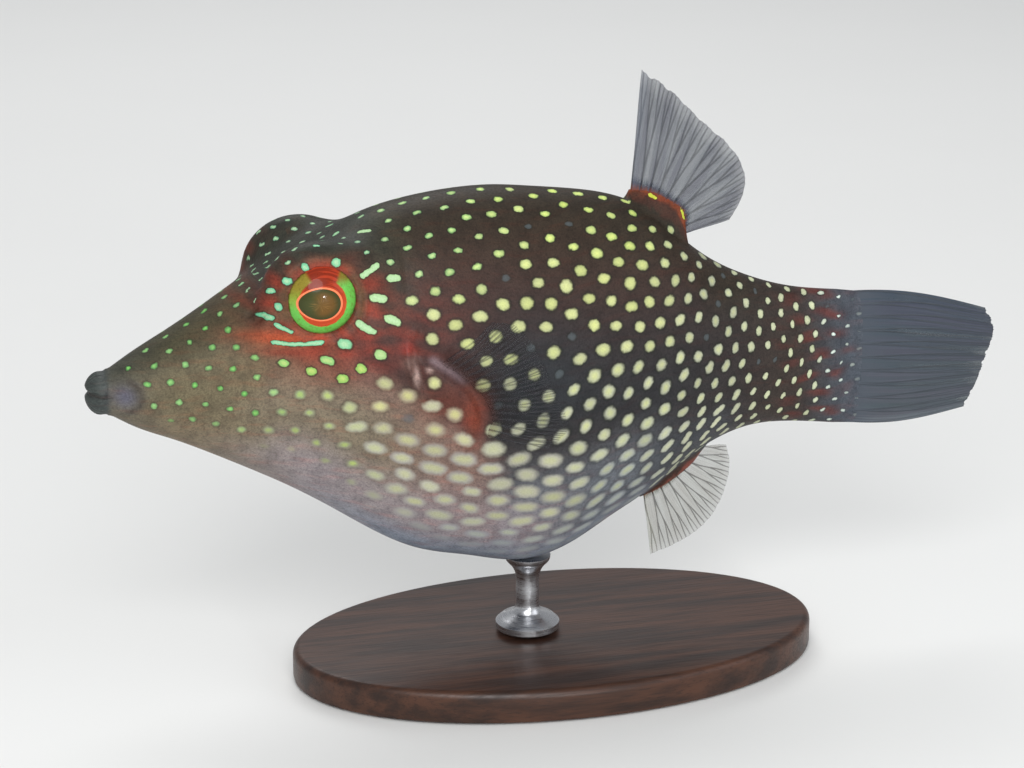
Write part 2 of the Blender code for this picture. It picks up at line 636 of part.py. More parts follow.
def make_stand(body_cutter):
    lower = [(PLATE_EDGE * inset, PLATE_EDGE * up) for inset, up in EDGE_CURVE]
    levels = lower + [(inset, PLATE_THICKNESS - up) for inset, up in reversed(lower)]
    rings = []
    for inset, height in levels:
        rings.append(oval(PLATE_LENGTH - 2 * inset, PLATE_WIDTH - 2 * inset, height, PLATE_COLUMNS))
    loft("stand_base", rings, material("stand_wood", (0.07, 0.035, 0.02), 0.35))
    foot = PLATE_THICKNESS + GAP
    belly = AXIS_HEIGHT - PROFILE[1](ROD_BEHIND_SNOUT)
    turned = [(radius, foot + up) for radius, up in FOOT_TURNING]
    turned += [(radius, belly + up) for radius, up in CUP_TURNING]
    x = ROD_BEHIND_SNOUT - TOTAL_LENGTH / 2
    rings = [oval(2 * radius, 2 * radius, height, ROD_COLUMNS, x) for radius, height in turned]
    rod = loft("stand_rod", rings, material("stand_steel", (0.62, 0.62, 0.64), 0.3, 1.0))
    boolean(rod, [body_cutter], "DIFFERENCE")


def main():
    for old in list(bpy.data.objects):
        bpy.data.objects.remove(old)
    body_cutter = whole_body_cutter()
    make_head()
    body_length("trunk", np.linspace(HEAD_END + GAP, TRUNK_END, TRUNK_RINGS), dark_skin())
    body_length("tail_stem", np.linspace(TRUNK_END + GAP, STEM_END, STEM_RINGS), dark_skin())
    make_eyes()
    make_lip("upper_lip", UPPER_LIP_HEIGHT, 1)
    make_lip("lower_lip", LOWER_LIP_HEIGHT, -1)
    make_upright_fins(body_cutter)
    make_caudal_fin()
    make_pectoral(-1, "left_pectoral_fin", body_cutter)
    make_pectoral(1, "right_pectoral_fin", body_cutter)
    make_stand(body_cutter)


main()
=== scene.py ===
# A spotted sharp-nosed puffer, life size, on a small display stand in a plain studio.
# The head points to -X and the fish's left side faces -Y. Sizes in the code are in
# millimetres. A place on the body is given by u, how far it lies behind the snout tip, and
# z, how far above the body's axis. A side is -1 for the fish's left and 1 for its right.

from math import acos, atan2, cos, pi, radians, sin

import bmesh
import bpy
import numpy as np
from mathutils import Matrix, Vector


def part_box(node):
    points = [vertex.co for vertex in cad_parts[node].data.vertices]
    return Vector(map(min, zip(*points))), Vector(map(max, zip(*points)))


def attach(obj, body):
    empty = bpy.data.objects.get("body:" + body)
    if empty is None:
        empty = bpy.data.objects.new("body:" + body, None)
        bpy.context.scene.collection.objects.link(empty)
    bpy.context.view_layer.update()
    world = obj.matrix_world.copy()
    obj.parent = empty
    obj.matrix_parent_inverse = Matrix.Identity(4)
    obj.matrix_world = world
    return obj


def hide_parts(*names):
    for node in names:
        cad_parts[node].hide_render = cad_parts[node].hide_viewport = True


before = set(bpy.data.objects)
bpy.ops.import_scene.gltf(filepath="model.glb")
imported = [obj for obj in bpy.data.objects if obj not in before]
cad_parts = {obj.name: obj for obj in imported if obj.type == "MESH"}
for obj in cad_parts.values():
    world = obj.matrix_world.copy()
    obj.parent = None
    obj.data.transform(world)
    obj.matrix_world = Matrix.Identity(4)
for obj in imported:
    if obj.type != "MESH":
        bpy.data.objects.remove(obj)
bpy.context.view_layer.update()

MM = 0.001


def node_box(name):
    """A node's lowest and highest corners in millimetres."""
    return [np.array(corner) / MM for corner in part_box(name)]


# Places taken from the frame
SNOUT_X = node_box("upper_lip")[0][0]
MOUTH_LINE = 0.1
AXIS_Z = (node_box("upper_lip")[0][2] + node_box("lower_lip")[1][2]) / 2 - MOUTH_LINE
STEM_END = node_box("tail_stem")[1][0] - SNOUT_X

# The body's outline. Each row: distance behind the snout tip, back above the axis, belly
# below it, half width, and how full the section is above and below its widest level.
STATIONS = (
    (1.9, 1.8, 1.9, 1.8, 2.0, 2.0),
    (4.4, 3.4, 3.4, 2.9, 2.0, 2.0),
    (7.4, 5.1, 4.7, 3.8, 2.0, 2.0),
    (10.4, 6.9, 6.1, 4.7, 2.0, 2.0),
    (13.9, 9.1, 7.9, 5.6, 2.1, 2.0),
    (17.4, 11.0, 9.8, 6.5, 2.2, 2.0),
    (21.4, 12.9, 12.3, 7.4, 2.2, 2.0),
    (25.4, 14.75, 15.0, 8.3, 2.0, 2.0),
    (29.4, 15.8, 17.1, 9.0, 1.9, 2.0),
    (34.4, 16.4, 18.3, 9.5, 1.8, 2.05),
    (37.4, 16.4, 19.0, 9.6, 1.8, 2.05),
    (40.4, 16.1, 19.1, 9.5, 1.8, 2.05),
    (44.4, 15.6, 17.8, 9.1, 1.8, 2.0),
    (47.9, 14.9, 15.8, 8.4, 1.8, 1.95),
    (51.4, 13.3, 13.8, 7.5, 1.85, 1.9),
    (54.4, 10.8, 11.5, 6.6, 1.9, 1.9),
    (57.4, 8.4, 9.7, 5.5, 1.9, 1.9),
    (61.4, 6.3, 8.3, 4.2, 1.95, 1.95),
    (65.4, 5.0, 8.2, 3.0, 2.0, 2.0),
    (70.2, 4.3, 8.8, 1.4, 2.2, 2.2),
)
SNOUT_END = STATIONS[0][0]
LIP_SWELL = 0.05
CAUDAL_OVERLAP = 3.6  # how far the skin runs on over the roots of the tail fin's rays

# The eyes' middles come from the frame; the domes of skin over them stand out from the head.
EYE_LOW, EYE_HIGH = node_box("right_eye")
EYE_RADIUS, EYE_HALF_DEPTH = ((EYE_HIGH - EYE_LOW) / 2)[:2]
EYE_U, EYE_OUT, EYE_Z = (EYE_LOW + EYE_HIGH) / 2 - (SNOUT_X, 0, AXIS_Z)
DOME_OUT, DOME_RADII, DOME_BLEND, DOME_SEARCH = 4.7, (5.1, 2.7, 4.8), 2.2, 6.0
LID_RADIUS, SOCKET_DEPTH = 3.04, 1.0

# Nostril, gill opening and mouth
NOSTRIL = (14.6, 7.4)
GILL = ((27.75, 4.9), (27.4, 3.9), (27.6, 2.4), (28.3, 0.7))
MOUTH_CORNER, CREASE_RADIUS = (3.3, 0.1), 1.45
CHEEK_OUT = 3.0  # places further out than this are on a side, not near the midline

# Fins, as in the frame: each root and tip curve is given by u and z
DORSAL_RIM = ((49.6, 15.2), (51.8, 15.0), (53.9, 14.0), (55.5, 12.6), (55.6, 11.2), (55.2, 10.3))
DORSAL_TIP = ((51.1, 26.0), (53.9, 24.0), (56.9, 21.0), (59.6, 18.4), (60.7, 15.6), (59.3, 11.9))
ANAL_RIM = ((51.2, -14.6), (53.6, -13.7), (55.3, -12.6), (56.6, -11.5), (57.5, -10.2))
ANAL_TIP = ((52.3, -20.3), (55.4, -19.0), (58.6, -16.9), (60.0, -14.6), (60.4, -11.8), (60.0, -10.4))
CAUDAL_TIP = ((84.0, -8.6), (85.3, -6.4), (85.9, -3.2), (86.1, -0.4), (85.2, 1.5))
PECTORAL_BASE = ((29.5, 3.2), (31.2, 2.0), (32.6, 0.7), (33.5, -0.8), (33.8, -2.4), (33.5, -3.9))
PECTORAL_TIP = ((34.0, 7.4), (36.1, 6.9), (37.7, 4.9), (39.0, 2.2), (40.1, -0.5), (40.8, -3.0), (39.0, -4.7))
PECTORAL_TIP_OUT, LOBE_HALF_WIDTH = 12.3, 1.5
DORSAL_RAYS, ANAL_RAYS, CAUDAL_RAYS, PECTORAL_RAYS = 10, 9, 11, 16
COLUMNS_PER_RAY = 26

# Skin grid: places where its points are closer together, as place, width and factor
SKIN_ROWS, SKIN_COLUMNS = ((316, 306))
ANGLE_CROWDS = ((0, 0.12, 2.6), (0.66, 0.28, 1.3), (1.7, 0.3, 0.4), (pi, 0.12, 2.2))
STOP_CROWDS = ((0, 1.6, 3.0), (EYE_U, 3.8, 0.9), (29.5, 3.0, 0.5), (54, 3.5, 0.4))

UV_SPAN = 100.0  # millimetres across the whole of the skin's map
MAP_START = 5.0  # millimetres from the map's edge to the snout tip
SIDE_MIDDLES = {-1: 26.0, 1: 76.0}  # where each side's mid line lies on the map


def natural_spline(xs, ys):
    """The smooth curve through the points, as a function of x."""
    xs, ys = np.asarray(xs, float), np.asarray(ys, float)
    steps = np.diff(xs)
    slopes = np.diff(ys) / steps
    system = np.eye(len(xs))
    right = np.zeros(len(xs))
    for i in range(1, len(xs) - 1):
        system[i, i - 1 : i + 2] = steps[i - 1], 2 * (steps[i - 1] + steps[i]), steps[i]
        right[i] = 6 * (slopes[i] - slopes[i - 1])
    bends = np.linalg.solve(system, right)

    def curve(x):
        i = np.clip(np.searchsorted(xs, x) - 1, 0, len(steps) - 1)
        a, b, h = xs[i + 1] - x, x - xs[i], steps[i]
        curved = (bends[i] * a**3 + bends[i + 1] * b**3) / (6 * h)
        straight = (ys[i] / h - bends[i] * h / 6) * a + (ys[i + 1] / h - bends[i + 1] * h / 6) * b
        return curved + straight

    return curve


PROFILE = [natural_spline(next(zip(*STATIONS)), column) for column in list(zip(*STATIONS))[1:]]


def through(points):
    """The smooth curve through the points, as a function of the share of its length."""
    points = np.asarray(points, float)
    lengths = np.concatenate([[0], np.cumsum(np.linalg.norm(np.diff(points, axis=0), axis=1))])
    curves = [natural_spline(lengths / lengths[-1], column) for column in points.T]
    return lambda share: np.stack([curve(np.asarray(share, float)) for curve in curves], axis=-1)


def smooth(low, high, value):
    """A soft step from 0 at low to 1 at high."""
    share = np.clip((np.asarray(value, float) - low) / (high - low), 0, 1)
    return share * share * (3 - 2 * share)


def fading(low, high, value):
    """A soft step from 1 at low to 0 at high."""
    return 1 - smooth(low, high, value)


def bell(distance, width):
    return np.exp(-((distance / width) ** 2))


def mix(a, b, share):
    return np.asarray(a) * (1 - share) + np.asarray(b) * share


def srgb(red, green, blue):
    """A colour as seen on a screen, 0 to 255, turned into a linear one."""
    values = np.array((red, green, blue)) / 255
    return np.where(values <= 0.04045, values / 12.92, ((values + 0.055) / 1.055) ** 2.4)


def section(u):
    """The body's middle level, half height, half width and fullness at a distance behind the snout tip."""
    back, belly, half, upper, lower = (float(curve(max(u, SNOUT_END))) for curve in PROFILE)
    if u < SNOUT_END:
        forward = (SNOUT_END - u) / SNOUT_END
        size = (1 - forward**2.6) ** 0.45 * (1 + LIP_SWELL * sin(pi * min(forward * 1.3, 1)))
        back, belly, half = back * size, belly * size * (1 + 0.05 * forward), half * size
    if u > STEM_END:
        beyond = (u - STEM_END) / CAUDAL_OVERLAP
        half = half * (1 - beyond) ** 1.4 + 0.02 * beyond
        back, belly = back - 0.15 * beyond, belly - 0.15 * beyond
    return (back - belly) / 2, (back + belly) / 2, half, upper, lower


def reach_with_domes(u, level, plain, sine, cosine):
    """How far the skin reaches where the domes over the eyes are blended into the plain body."""
    reaches = plain[:, None] + np.linspace(0, DOME_SEARCH, 120)
    field = reaches - plain[:, None]
    for side in (-1, 1):
        along = (u - EYE_U) / DOME_RADII[0]
        out = (reaches * sine[:, None] - side * DOME_OUT) / DOME_RADII[1]
        up = (level + reaches * cosine[:, None] - EYE_Z) / DOME_RADII[2]
        dome = (np.sqrt(along**2 + out**2 + up**2) - 1) * DOME_RADII[1]
        near = np.maximum(DOME_BLEND - np.abs(field - dome), 0) / DOME_BLEND
        field = np.minimum(field, dome) - near * near * DOME_BLEND / 4
    last = field.shape[1] - 2 - np.argmax(field[:, -2::-1] <= 0, axis=1)
    rows = np.arange(len(plain))
    inner, outer = field[rows, last], field[rows, last + 1]
    step = reaches[rows, last + 1] - reaches[rows, last]
    return reaches[rows, last] + step * inner / (inner - outer)


def body_ring(u, angles):
    """Points round the body at a distance behind the snout tip. Angle 0 is the back."""
    level, height, half, upper, lower = section(u)
    sine, cosine = np.sin(angles), np.cos(angles)
    fullness = np.where(cosine >= 0, upper, lower)
    reach = (np.abs(sine / half) ** fullness + np.abs(cosine / height) ** fullness) ** (-1 / fullness)
    if abs(u - EYE_U) < DOME_RADII[0] + DOME_BLEND:
        reach = reach_with_domes(u, level, reach, sine, cosine)
    return np.stack([np.full_like(reach, u), reach * sine, level + reach * cosine], axis=-1)


def placed(points):
    """Points on the body, moved to their place in the frame, in metres."""
    return (np.asarray(points, float) + (SNOUT_X, 0, AXIS_Z)) * MM


def add_object(name, data):
    made = bpy.data.objects.new(name, data)
    bpy.context.scene.collection.objects.link(made)
    return made


def make_mesh(name, points, faces):
    mesh = bpy.data.meshes.new(name)
    mesh.from_pydata(np.asarray(points, float).tolist(), [], faces)
    mesh.update()
    mesh.shade_smooth()
    return add_object(name, mesh)


def add_attribute(mesh, name, kind, domain, values):
    field = {"FLOAT": "value", "FLOAT_VECTOR": "vector", "FLOAT_COLOR": "color"}[kind]
    if kind == "FLOAT_COLOR":
        values = np.concatenate([values, np.ones((len(values), 1))], axis=1)
    mesh.attributes.new(name, kind, domain).data.foreach_set(field, values.ravel())


def grid_faces(rows, columns, closed=False, offset=0, flip=False):
    """Quads of a grid of points, joined round in the second direction where it is closed."""
    faces = []
    for i in range(rows - 1):
        for j in range(columns if closed else columns - 1):
            k = (j + 1) % columns
            quad = (i * columns + j, (i + 1) * columns + j, (i + 1) * columns + k, i * columns + k)
            faces.append(tuple(offset + q for q in (reversed(quad) if flip else quad)))
    return faces


def surface_normals(grid, closed=True):
    """Unit normals of a grid of points, which may be joined round in its second direction."""
    if closed:
        padded = np.concatenate([grid[:, -1:], grid, grid[:, :1]], axis=1)
        across = (padded[:, 2:] - padded[:, :-2]) / 2
    else:
        across = np.gradient(grid, axis=1)
    found = np.cross(across, np.gradient(grid, axis=0))
    return found / np.maximum(np.linalg.norm(found, axis=-1, keepdims=True), 1e-9)


def fix_normals(mesh):
    shape = bmesh.new()
    shape.from_mesh(mesh)
    bmesh.ops.recalc_face_normals(shape, faces=shape.faces)
    if shape.calc_volume(signed=True) < 0:
        bmesh.ops.reverse_faces(shape, faces=shape.faces)
    shape.to_mesh(mesh)
    shape.free()


def distance_to_line(u, z, points):
    """Each place's distance to a curve, the share of its length nearest to it, and the side it lies on."""
    shares = np.linspace(0, 1, 60)
    line = through(points)(shares)
    best, share, across = np.full(np.shape(u), 1e9), np.zeros(np.shape(u)), np.zeros(np.shape(u))
    direction = np.gradient(line, axis=0)
    direction /= np.linalg.norm(direction, axis=1, keepdims=True)
    for at, (x, y), (dx, dy) in zip(shares, line, direction):
        away = np.hypot(u - x, z - y)
        nearer = away < best
        best, share = np.where(nearer, away, best), np.where(nearer, at, share)
        across = np.where(nearer, dx * (z - y) - dy * (u - x), across)
    return best, share, across


def with_lobes(plain):
    """The plain body with the fleshy roots of the dorsal and anal fins raised along its midline."""
    moved = plain.copy()
    shape = np.clip(1 - np.abs(plain[..., 1]) / LOBE_HALF_WIDTH, 0, 1) ** 1.15
    for rim, turn in ((DORSAL_RIM, 1), (ANAL_RIM, -1)):
        line = through(rim)(np.linspace(0, 1, 200))
        top = np.interp(plain[..., 0], line[:, 0], turn * line[:, 1], left=-99, right=-99)
        base = (turn * plain[..., 2]).max(axis=1, keepdims=True)
        near_midline = turn * plain[..., 2] - base > -3
        moved[..., 2] += turn * np.maximum(top - base, 0) * shape * near_midline
    return moved


def skin_relief(plain, normal):
    """Moves the body's points out or in for lids, sockets, nostrils, gills, mouth, lips and fin roots."""
    u, out, z = plain[..., 0], np.abs(plain[..., 1]), plain[..., 2]
    on_side = out > CHEEK_OUT
    rise = np.zeros(u.shape)

    eye_away = np.hypot(u - EYE_U, z - EYE_Z)
    for height, beyond_lid, width in ((0.2, 0.25, 0.3), (-0.06, 0.8, 0.16), (0.03, 1.1, 0.2)):
        rise += on_side * height * bell(eye_away - LID_RADIUS - beyond_lid, width)

    nostril_away = np.hypot(u - NOSTRIL[0], z - NOSTRIL[1])
    rise += (out > 1.5) * (0.4 * bell(nostril_away - 0.4, 0.2) - 0.5 * bell(nostril_away, 0.24))

    gill_away, gill_share, gill_across = distance_to_line(u, z, GILL)
    bulge = np.sin(pi * np.clip(gill_share, 0.02, 0.98)) ** 0.6 * on_side
    rise += 0.26 * bulge * bell(gill_across - 0.42, 0.36) * (gill_away < 1.6)
    rise -= 0.6 * bulge * bell(gill_across + 0.14, 0.2) * (gill_away < 1.2)

    corner_away = np.hypot(u - MOUTH_CORNER[0], z - MOUTH_CORNER[1])
    rise += 0.16 * bell(corner_away, 0.95) * (out > 0.8)
    rise -= 0.16 * smooth(-0.3, 0.5, u - MOUTH_CORNER[0]) * bell(corner_away - CREASE_RADIUS, 0.2)
    rise -= 0.13 * bell(u - SNOUT_END - 0.1, 0.24)
    rise -= 0.3 * bell(z - MOUTH_LINE, 0.13) * fading(1.7, 2.5, u)
    lip_folds = np.sin(np.arctan2(plain[..., 1], z - MOUTH_LINE) * 26)
    rise += 0.022 * lip_folds * fading(1.2, 2.0, u) * smooth(0.1, 0.5, u)

    away, share, across = distance_to_line(u, z, PECTORAL_BASE)
    ends = np.sin(pi * np.clip(share, 0.04, 0.96)) ** 0.5 * (away < 2.6) * on_side
    rise += 0.5 * ends * smooth(-0.7, -0.2, across) * fading(-0.2, 2.2, across)

    moved = plain + normal * rise[..., None]
    moved[..., 0] += 0.62 * bell(z - MOUTH_LINE, 0.26) * fading(0.5, 1.6, u)
    socket = np.where(on_side, fading(LID_RADIUS - 0.4, LID_RADIUS, eye_away), 0)
    sunk = mix(np.abs(moved[..., 1]), EYE_OUT - SOCKET_DEPTH, socket)
    moved[..., 1] = np.sign(plain[..., 1]) * sunk
    return moved


def spread(low, high, count, crowds):
    """Values from low to high, closer together by each crowd's factor near its place."""
    fine = np.linspace(low, high, 6000)
    density = np.ones_like(fine)
    for place, width, factor in crowds:
        density += factor * bell(fine - place, width)
    total = np.concatenate([[0], np.cumsum((density[1:] + density[:-1]) / 2)])
    return np.interp(np.linspace(0, total[-1], count), total, fine)


def spot_kind(length, width, along, across, tilt, blur, outline, heart, edge):
    """Half length and width, spacing along the body and across it, tilt in degrees, softness of the
    edge, how dark the outline is, and the colours of the spot's heart and edge."""
    return np.array([length, width, along, across, radians(tilt), blur, outline, *srgb(*heart), *srgb(*edge)])


# Kinds of spots by region
FLANK = spot_kind(0.53, 0.48, 2.5, 2.35, 0, 0.26, 0.75, (194, 200, 130), (176, 182, 122))
MIDDLE = spot_kind(0.58, 0.5, 2.3, 2.15, 60, 0.32, 0.6, (182, 186, 138), (162, 165, 146))
BACK = spot_kind(0.41, 0.33, 2.45, 2.15, 0, 0.22, 0.9, (206, 220, 120), (170, 192, 106))
NAPE = spot_kind(0.34, 0.23, 2.3, 1.75, 8, 0.24, 0.9, (178, 208, 136), (120, 166, 104))
BROW = spot_kind(0.25, 0.17, 1.55, 1.3, 20, 0.26, 0.8, (166, 202, 156), (100, 150, 118))
SNOUT = spot_kind(0.27, 0.23, 2.05, 1.9, 0, 0.3, 0.5, (124, 188, 98), (84, 148, 76))
CHEEK = spot_kind(0.46, 0.36, 2.3, 1.95, -5, 0.5, 0.2, (158, 176, 102), (142, 144, 116))
GILL_SIDE = spot_kind(0.72, 0.54, 2.5, 2.05, -10, 0.46, 0.15, (182, 178, 124), (158, 146, 124))
BELLY = spot_kind(1.14, 0.66, 3.00, 1.8, -8, 0.42, 0.1, (172, 172, 136), (154, 151, 146))
LOWER = spot_kind(0.8, 0.56, 2.25, 1.62, 25, 0.3, 0.4, (170, 175, 146), (151, 156, 156))
BOTTOM = spot_kind(1.15, 0.55, 3.1, 1.7, 0, 0.6, 0.0, (156, 164, 170), (148, 152, 162))
REAR = spot_kind(0.5, 0.4, 1.95, 1.8, 60, 0.24, 0.8, (180, 183, 140), (160, 164, 142))
# Spots on the lower rear flank: their colours are painted lighter, as painted light that offsets the shade
# falling there
REAR_LOW_BRIGHTENED = spot_kind(0.68, 0.36, 1.85, 1.25, 44, 0.24, 0.6, (196, 198, 166), (178, 180, 160))
STEM = spot_kind(0.36, 0.27, 1.7, 1.55, 80, 0.2, 0.9, (194, 198, 162), (176, 182, 150))
TAIL = spot_kind(0.27, 0.15, 1.6, 1.7, 0, 0.24, 0.7, (214, 222, 210), (164, 180, 178))
GHOST, SPOT_GREY, GHOSTS = srgb(88, 96, 100), srgb(176, 176, 156), 0.06
# How high up the belly its plain strip reaches, at distances behind the snout tip
PLAIN_BELLY = (4, 14, 22, 30, 38, 46, 54, 60), (0.34, 0.29, 0.23, 0.15, 0.1, 0.07, 0.02, -0.1)


def spot_kinds(u, low):
    """The kind of spot at each place: u behind the snout tip, low from 0 at the belly to 1 at the back."""
    kinds = np.zeros((*u.shape, len(FLANK))) + FLANK
    layers = (
        (MIDDLE, bell(low - 0.47, 0.13) * smooth(30, 38, u)),
        (LOWER, smooth(0.44, 0.3, low) * smooth(30, 46, u)),
        (GILL_SIDE, smooth(0.6, 0.5, low) * smooth(22, 26, u) * fading(32.5, 35, u)),
        (BELLY, smooth(0.48, 0.36, low) * fading(38, 47, u)),
        (BACK, smooth(0.74, 0.9, low)),
        (NAPE, smooth(0.68, 0.82, low) * fading(30, 40, u)),
        (REAR, smooth(48, 57, u) * smooth(0.28, 0.4, low)),
        (REAR_LOW_BRIGHTENED, smooth(47, 55, u) * smooth(0.42, 0.26, low)),
        (CHEEK, fading(19, 25, u) * smooth(0.62, 0.46, low)),
        (SNOUT, fading(13, 20, u)),
        (CHEEK, fading(22, 26, u) * smooth(8, 14, u) * smooth(0.42, 0.28, low)),
        (BROW, smooth(12, 15, u) * fading(24, 27, u) * smooth(0.68, 0.76, low)),
        (BOTTOM, smooth(0.25, 0.13, low) * smooth(16, 24, u) * fading(48, 54, u)),
        (STEM, smooth(57, 63, u)),
        (TAIL, smooth(67, 69.5, u)),
    )
    for kind, share in layers:
        kinds = mix(kinds, kind, share[..., None])
    return kinds


class Side:
    """One side of the skin as a flat map: u behind the snout tip, v the arc up from the side's middle."""

    LEVELS = 90

    def __init__(self, stops, points, arcs):
        self.stops, self.points, self.arcs = stops, points, arcs
        tops, bottoms = arcs[:, :1], arcs[:, -1:]
        levels = bottoms + np.linspace(0, 1, self.LEVELS) * (tops - bottoms)
        surface = np.zeros((*levels.shape, 3))
        for row, (line, arc) in enumerate(zip(points, arcs)):
            for axis in range(3):
                surface[row, :, axis] = np.interp(levels[row], arc[::-1], line[::-1, axis])
        up = np.gradient(surface, axis=1) / np.gradient(levels, axis=1)[..., None]
        tailward = np.gradient(surface, stops, axis=0) - up * np.gradient(levels, stops, axis=0)[..., None]
        self.heights = surface[..., 2]
        self.shear = (tailward * up).sum(axis=2)
        self.stretch = np.sqrt(np.maximum((tailward**2).sum(axis=2) - self.shear**2, 0.2))

    def top(self, u):
        return np.interp(u, self.stops, self.arcs[:, 0])

    def bottom(self, u):
        return np.interp(u, self.stops, self.arcs[:, -1])

    def low(self, u, v):
        """How high a place lies, from 0 at the belly to 1 at the back."""
        return (v - self.bottom(u)) / (self.top(u) - self.bottom(u))

    def cell(self, u, v):
        row = np.clip(np.searchsorted(self.stops, u), 0, len(self.stops) - 1)
        return row, np.clip(np.rint(self.low(u, v) * (self.LEVELS - 1)), 0, self.LEVELS - 1).astype(int)

    def slopes(self, u, v):
        """How much longer a step tailward is on the skin than on the map, and how far it leads upwards."""
        return self.stretch[self.cell(u, v)], self.shear[self.cell(u, v)]

    def arc_at(self, u, z):
        """How far up from the side's middle the skin reaches a height above the axis."""
        row = int(np.argmin(np.abs(self.stops - u)))
        line, arc = self.points[row], self.arcs[row]
        outermost = int(np.argmax(line[:, 1]))
        if z > line[outermost, 2]:
            climb = np.maximum.accumulate(line[outermost::-1, 2])
            return float(np.interp(z, climb, arc[outermost::-1]))
        return float(np.interp(-z, -line[outermost:, 2], arc[outermost:]))


SPOT_SEED, SPOT_TRIES = 5, 60000
NEAREST_SPOTS = 0.8  # how near two first places may lie, as a share of the spacing
SETTLED_GAP, SETTLING, PUSH = 1.12, 50, 0.17  # gap aimed at, rounds, and share made up in each


def scatter_spots(side):
    """Spots spread evenly but not in rows, by moving random places apart until they settle."""
    dice = np.random.default_rng(SPOT_SEED)
    tries = dice.uniform((3.6, -30), (74.5, 30), (SPOT_TRIES, 2))
    low = side.low(*tries.T)
    inside = (low > 0) & (low < 1)
    tries, kinds = tries[inside], spot_kinds(tries[inside, 0], low[inside])
    slopes = np.stack(side.slopes(*tries.T), axis=1)
    kept = np.zeros((0, 2))
    for place, reach, (stretch, shear) in zip(tries, kinds[:, 2:4], slopes):
        u, v = (kept - place).T
        if not (np.hypot(u * stretch / reach[0], (v + u * shear) / reach[1]) < NEAREST_SPOTS).any():
            kept = np.concatenate([kept, [place]])
    for _ in range(SETTLING):
        u, v = kept.T
        reach = spot_kinds(u, side.low(u, v))[:, 2:4]
        stretch, shear = side.slopes(u, v)
        apart = kept[:, None] - kept[None]
        tailward = apart[..., 0] * stretch[:, None] / reach[:, :1]
        upward = (apart[..., 1] + apart[..., 0] * shear[:, None]) / reach[:, 1:]
        away = np.hypot(tailward, upward) + np.eye(len(kept)) * 99
        push = PUSH * np.clip(1 - away / SETTLED_GAP, 0, 1) / away
        step = (tailward * push).sum(axis=1) * reach[:, 0] / stretch
        rise = (upward * push).sum(axis=1)
        for gap, turn in ((side.top(u) - v, -1), (v - side.bottom(u), 1)):  # the other side's spots
            rise += turn * PUSH * np.clip(1 - 2 * gap / reach[:, 1] / SETTLED_GAP, 0, 1)
        kept = kept + np.stack([step, rise * reach[:, 1] - step * shear], axis=1)
        kept[:, 1] = np.clip(kept[:, 1], side.bottom(kept[:, 0]) + 0.4, side.top(kept[:, 0]) - 0.4)
        kept[:, 0] = np.clip(kept[:, 0], 3.8, 74.2)
    return kept, dice


def laid_out(length, width, tilt, stretch, shear):
    """The half length, half width and tilt on the flat map of ellipses on the curved skin."""
    turn = np.array([[np.cos(tilt), np.sin(tilt)], [-np.sin(tilt), np.cos(tilt)]]).transpose(2, 0, 1)
    to_skin = np.array([[stretch, 0 * stretch], [shear, 1 + 0 * shear]]).transpose(2, 0, 1)
    scaled = turn @ to_skin / np.stack([length, width], axis=1)[..., None]
    values, axes = np.linalg.eigh(scaled.transpose(0, 2, 1) @ scaled)
    return values[:, 0] ** -0.5, values[:, 1] ** -0.5, np.arctan2(axes[:, 1, 0], axes[:, 0, 0])


def natural_spots(side):
    """The spots over the whole side, as rows: place, tilt, half length and width, softness, bend,
    strength, outline, heart colour and edge colour."""
    places, dice = scatter_spots(side)
    u, v = places.T
    low = side.low(u, v)
    kinds = spot_kinds(u, low)
    count = len(u)
    size = dice.uniform(0.9, 1.1, count)
    longer = dice.uniform(0.92, 1.12, count)
    tilt = kinds[:, 4] + dice.normal(0, 0.14, count)
    plain_belly = np.interp(u, *PLAIN_BELLY)
    strength = smooth(plain_belly - 0.06, plain_belly + 0.08, low) * fading(70, 73.6, u)
    ghostly = (dice.uniform(size=count) < GHOSTS) & (u > 27) & (low > 0.45)
    size = np.where(ghostly, size * 0.7, size)
    strength = np.where(ghostly, 0.55, strength)
    paler = dice.uniform(size=count) ** 1.5 * (0.25 + 0.6 * bell(u - 32, 9) * bell(low - 0.42, 0.16))
    dimmer = dice.uniform(0.84, 1.05, (count, 1))
    tints = [
        np.where(ghostly[:, None], ghost, mix(tint, SPOT_GREY, paler[:, None]) * dimmer)
        for ghost, tint in ((GHOST, kinds[:, 7:10]), (GHOST * 0.8, kinds[:, 10:13]))
    ]
    length, width = kinds[:, 0] * size * longer, kinds[:, 1] * size / longer
    length, width, tilt = laid_out(length, width, tilt, *side.slopes(u, v))
    flat = [u, v, tilt, length, width, kinds[:, 5], 0 * u, strength, kinds[:, 6]]
    return np.concatenate([np.stack(flat, axis=1), *tints], axis=1)


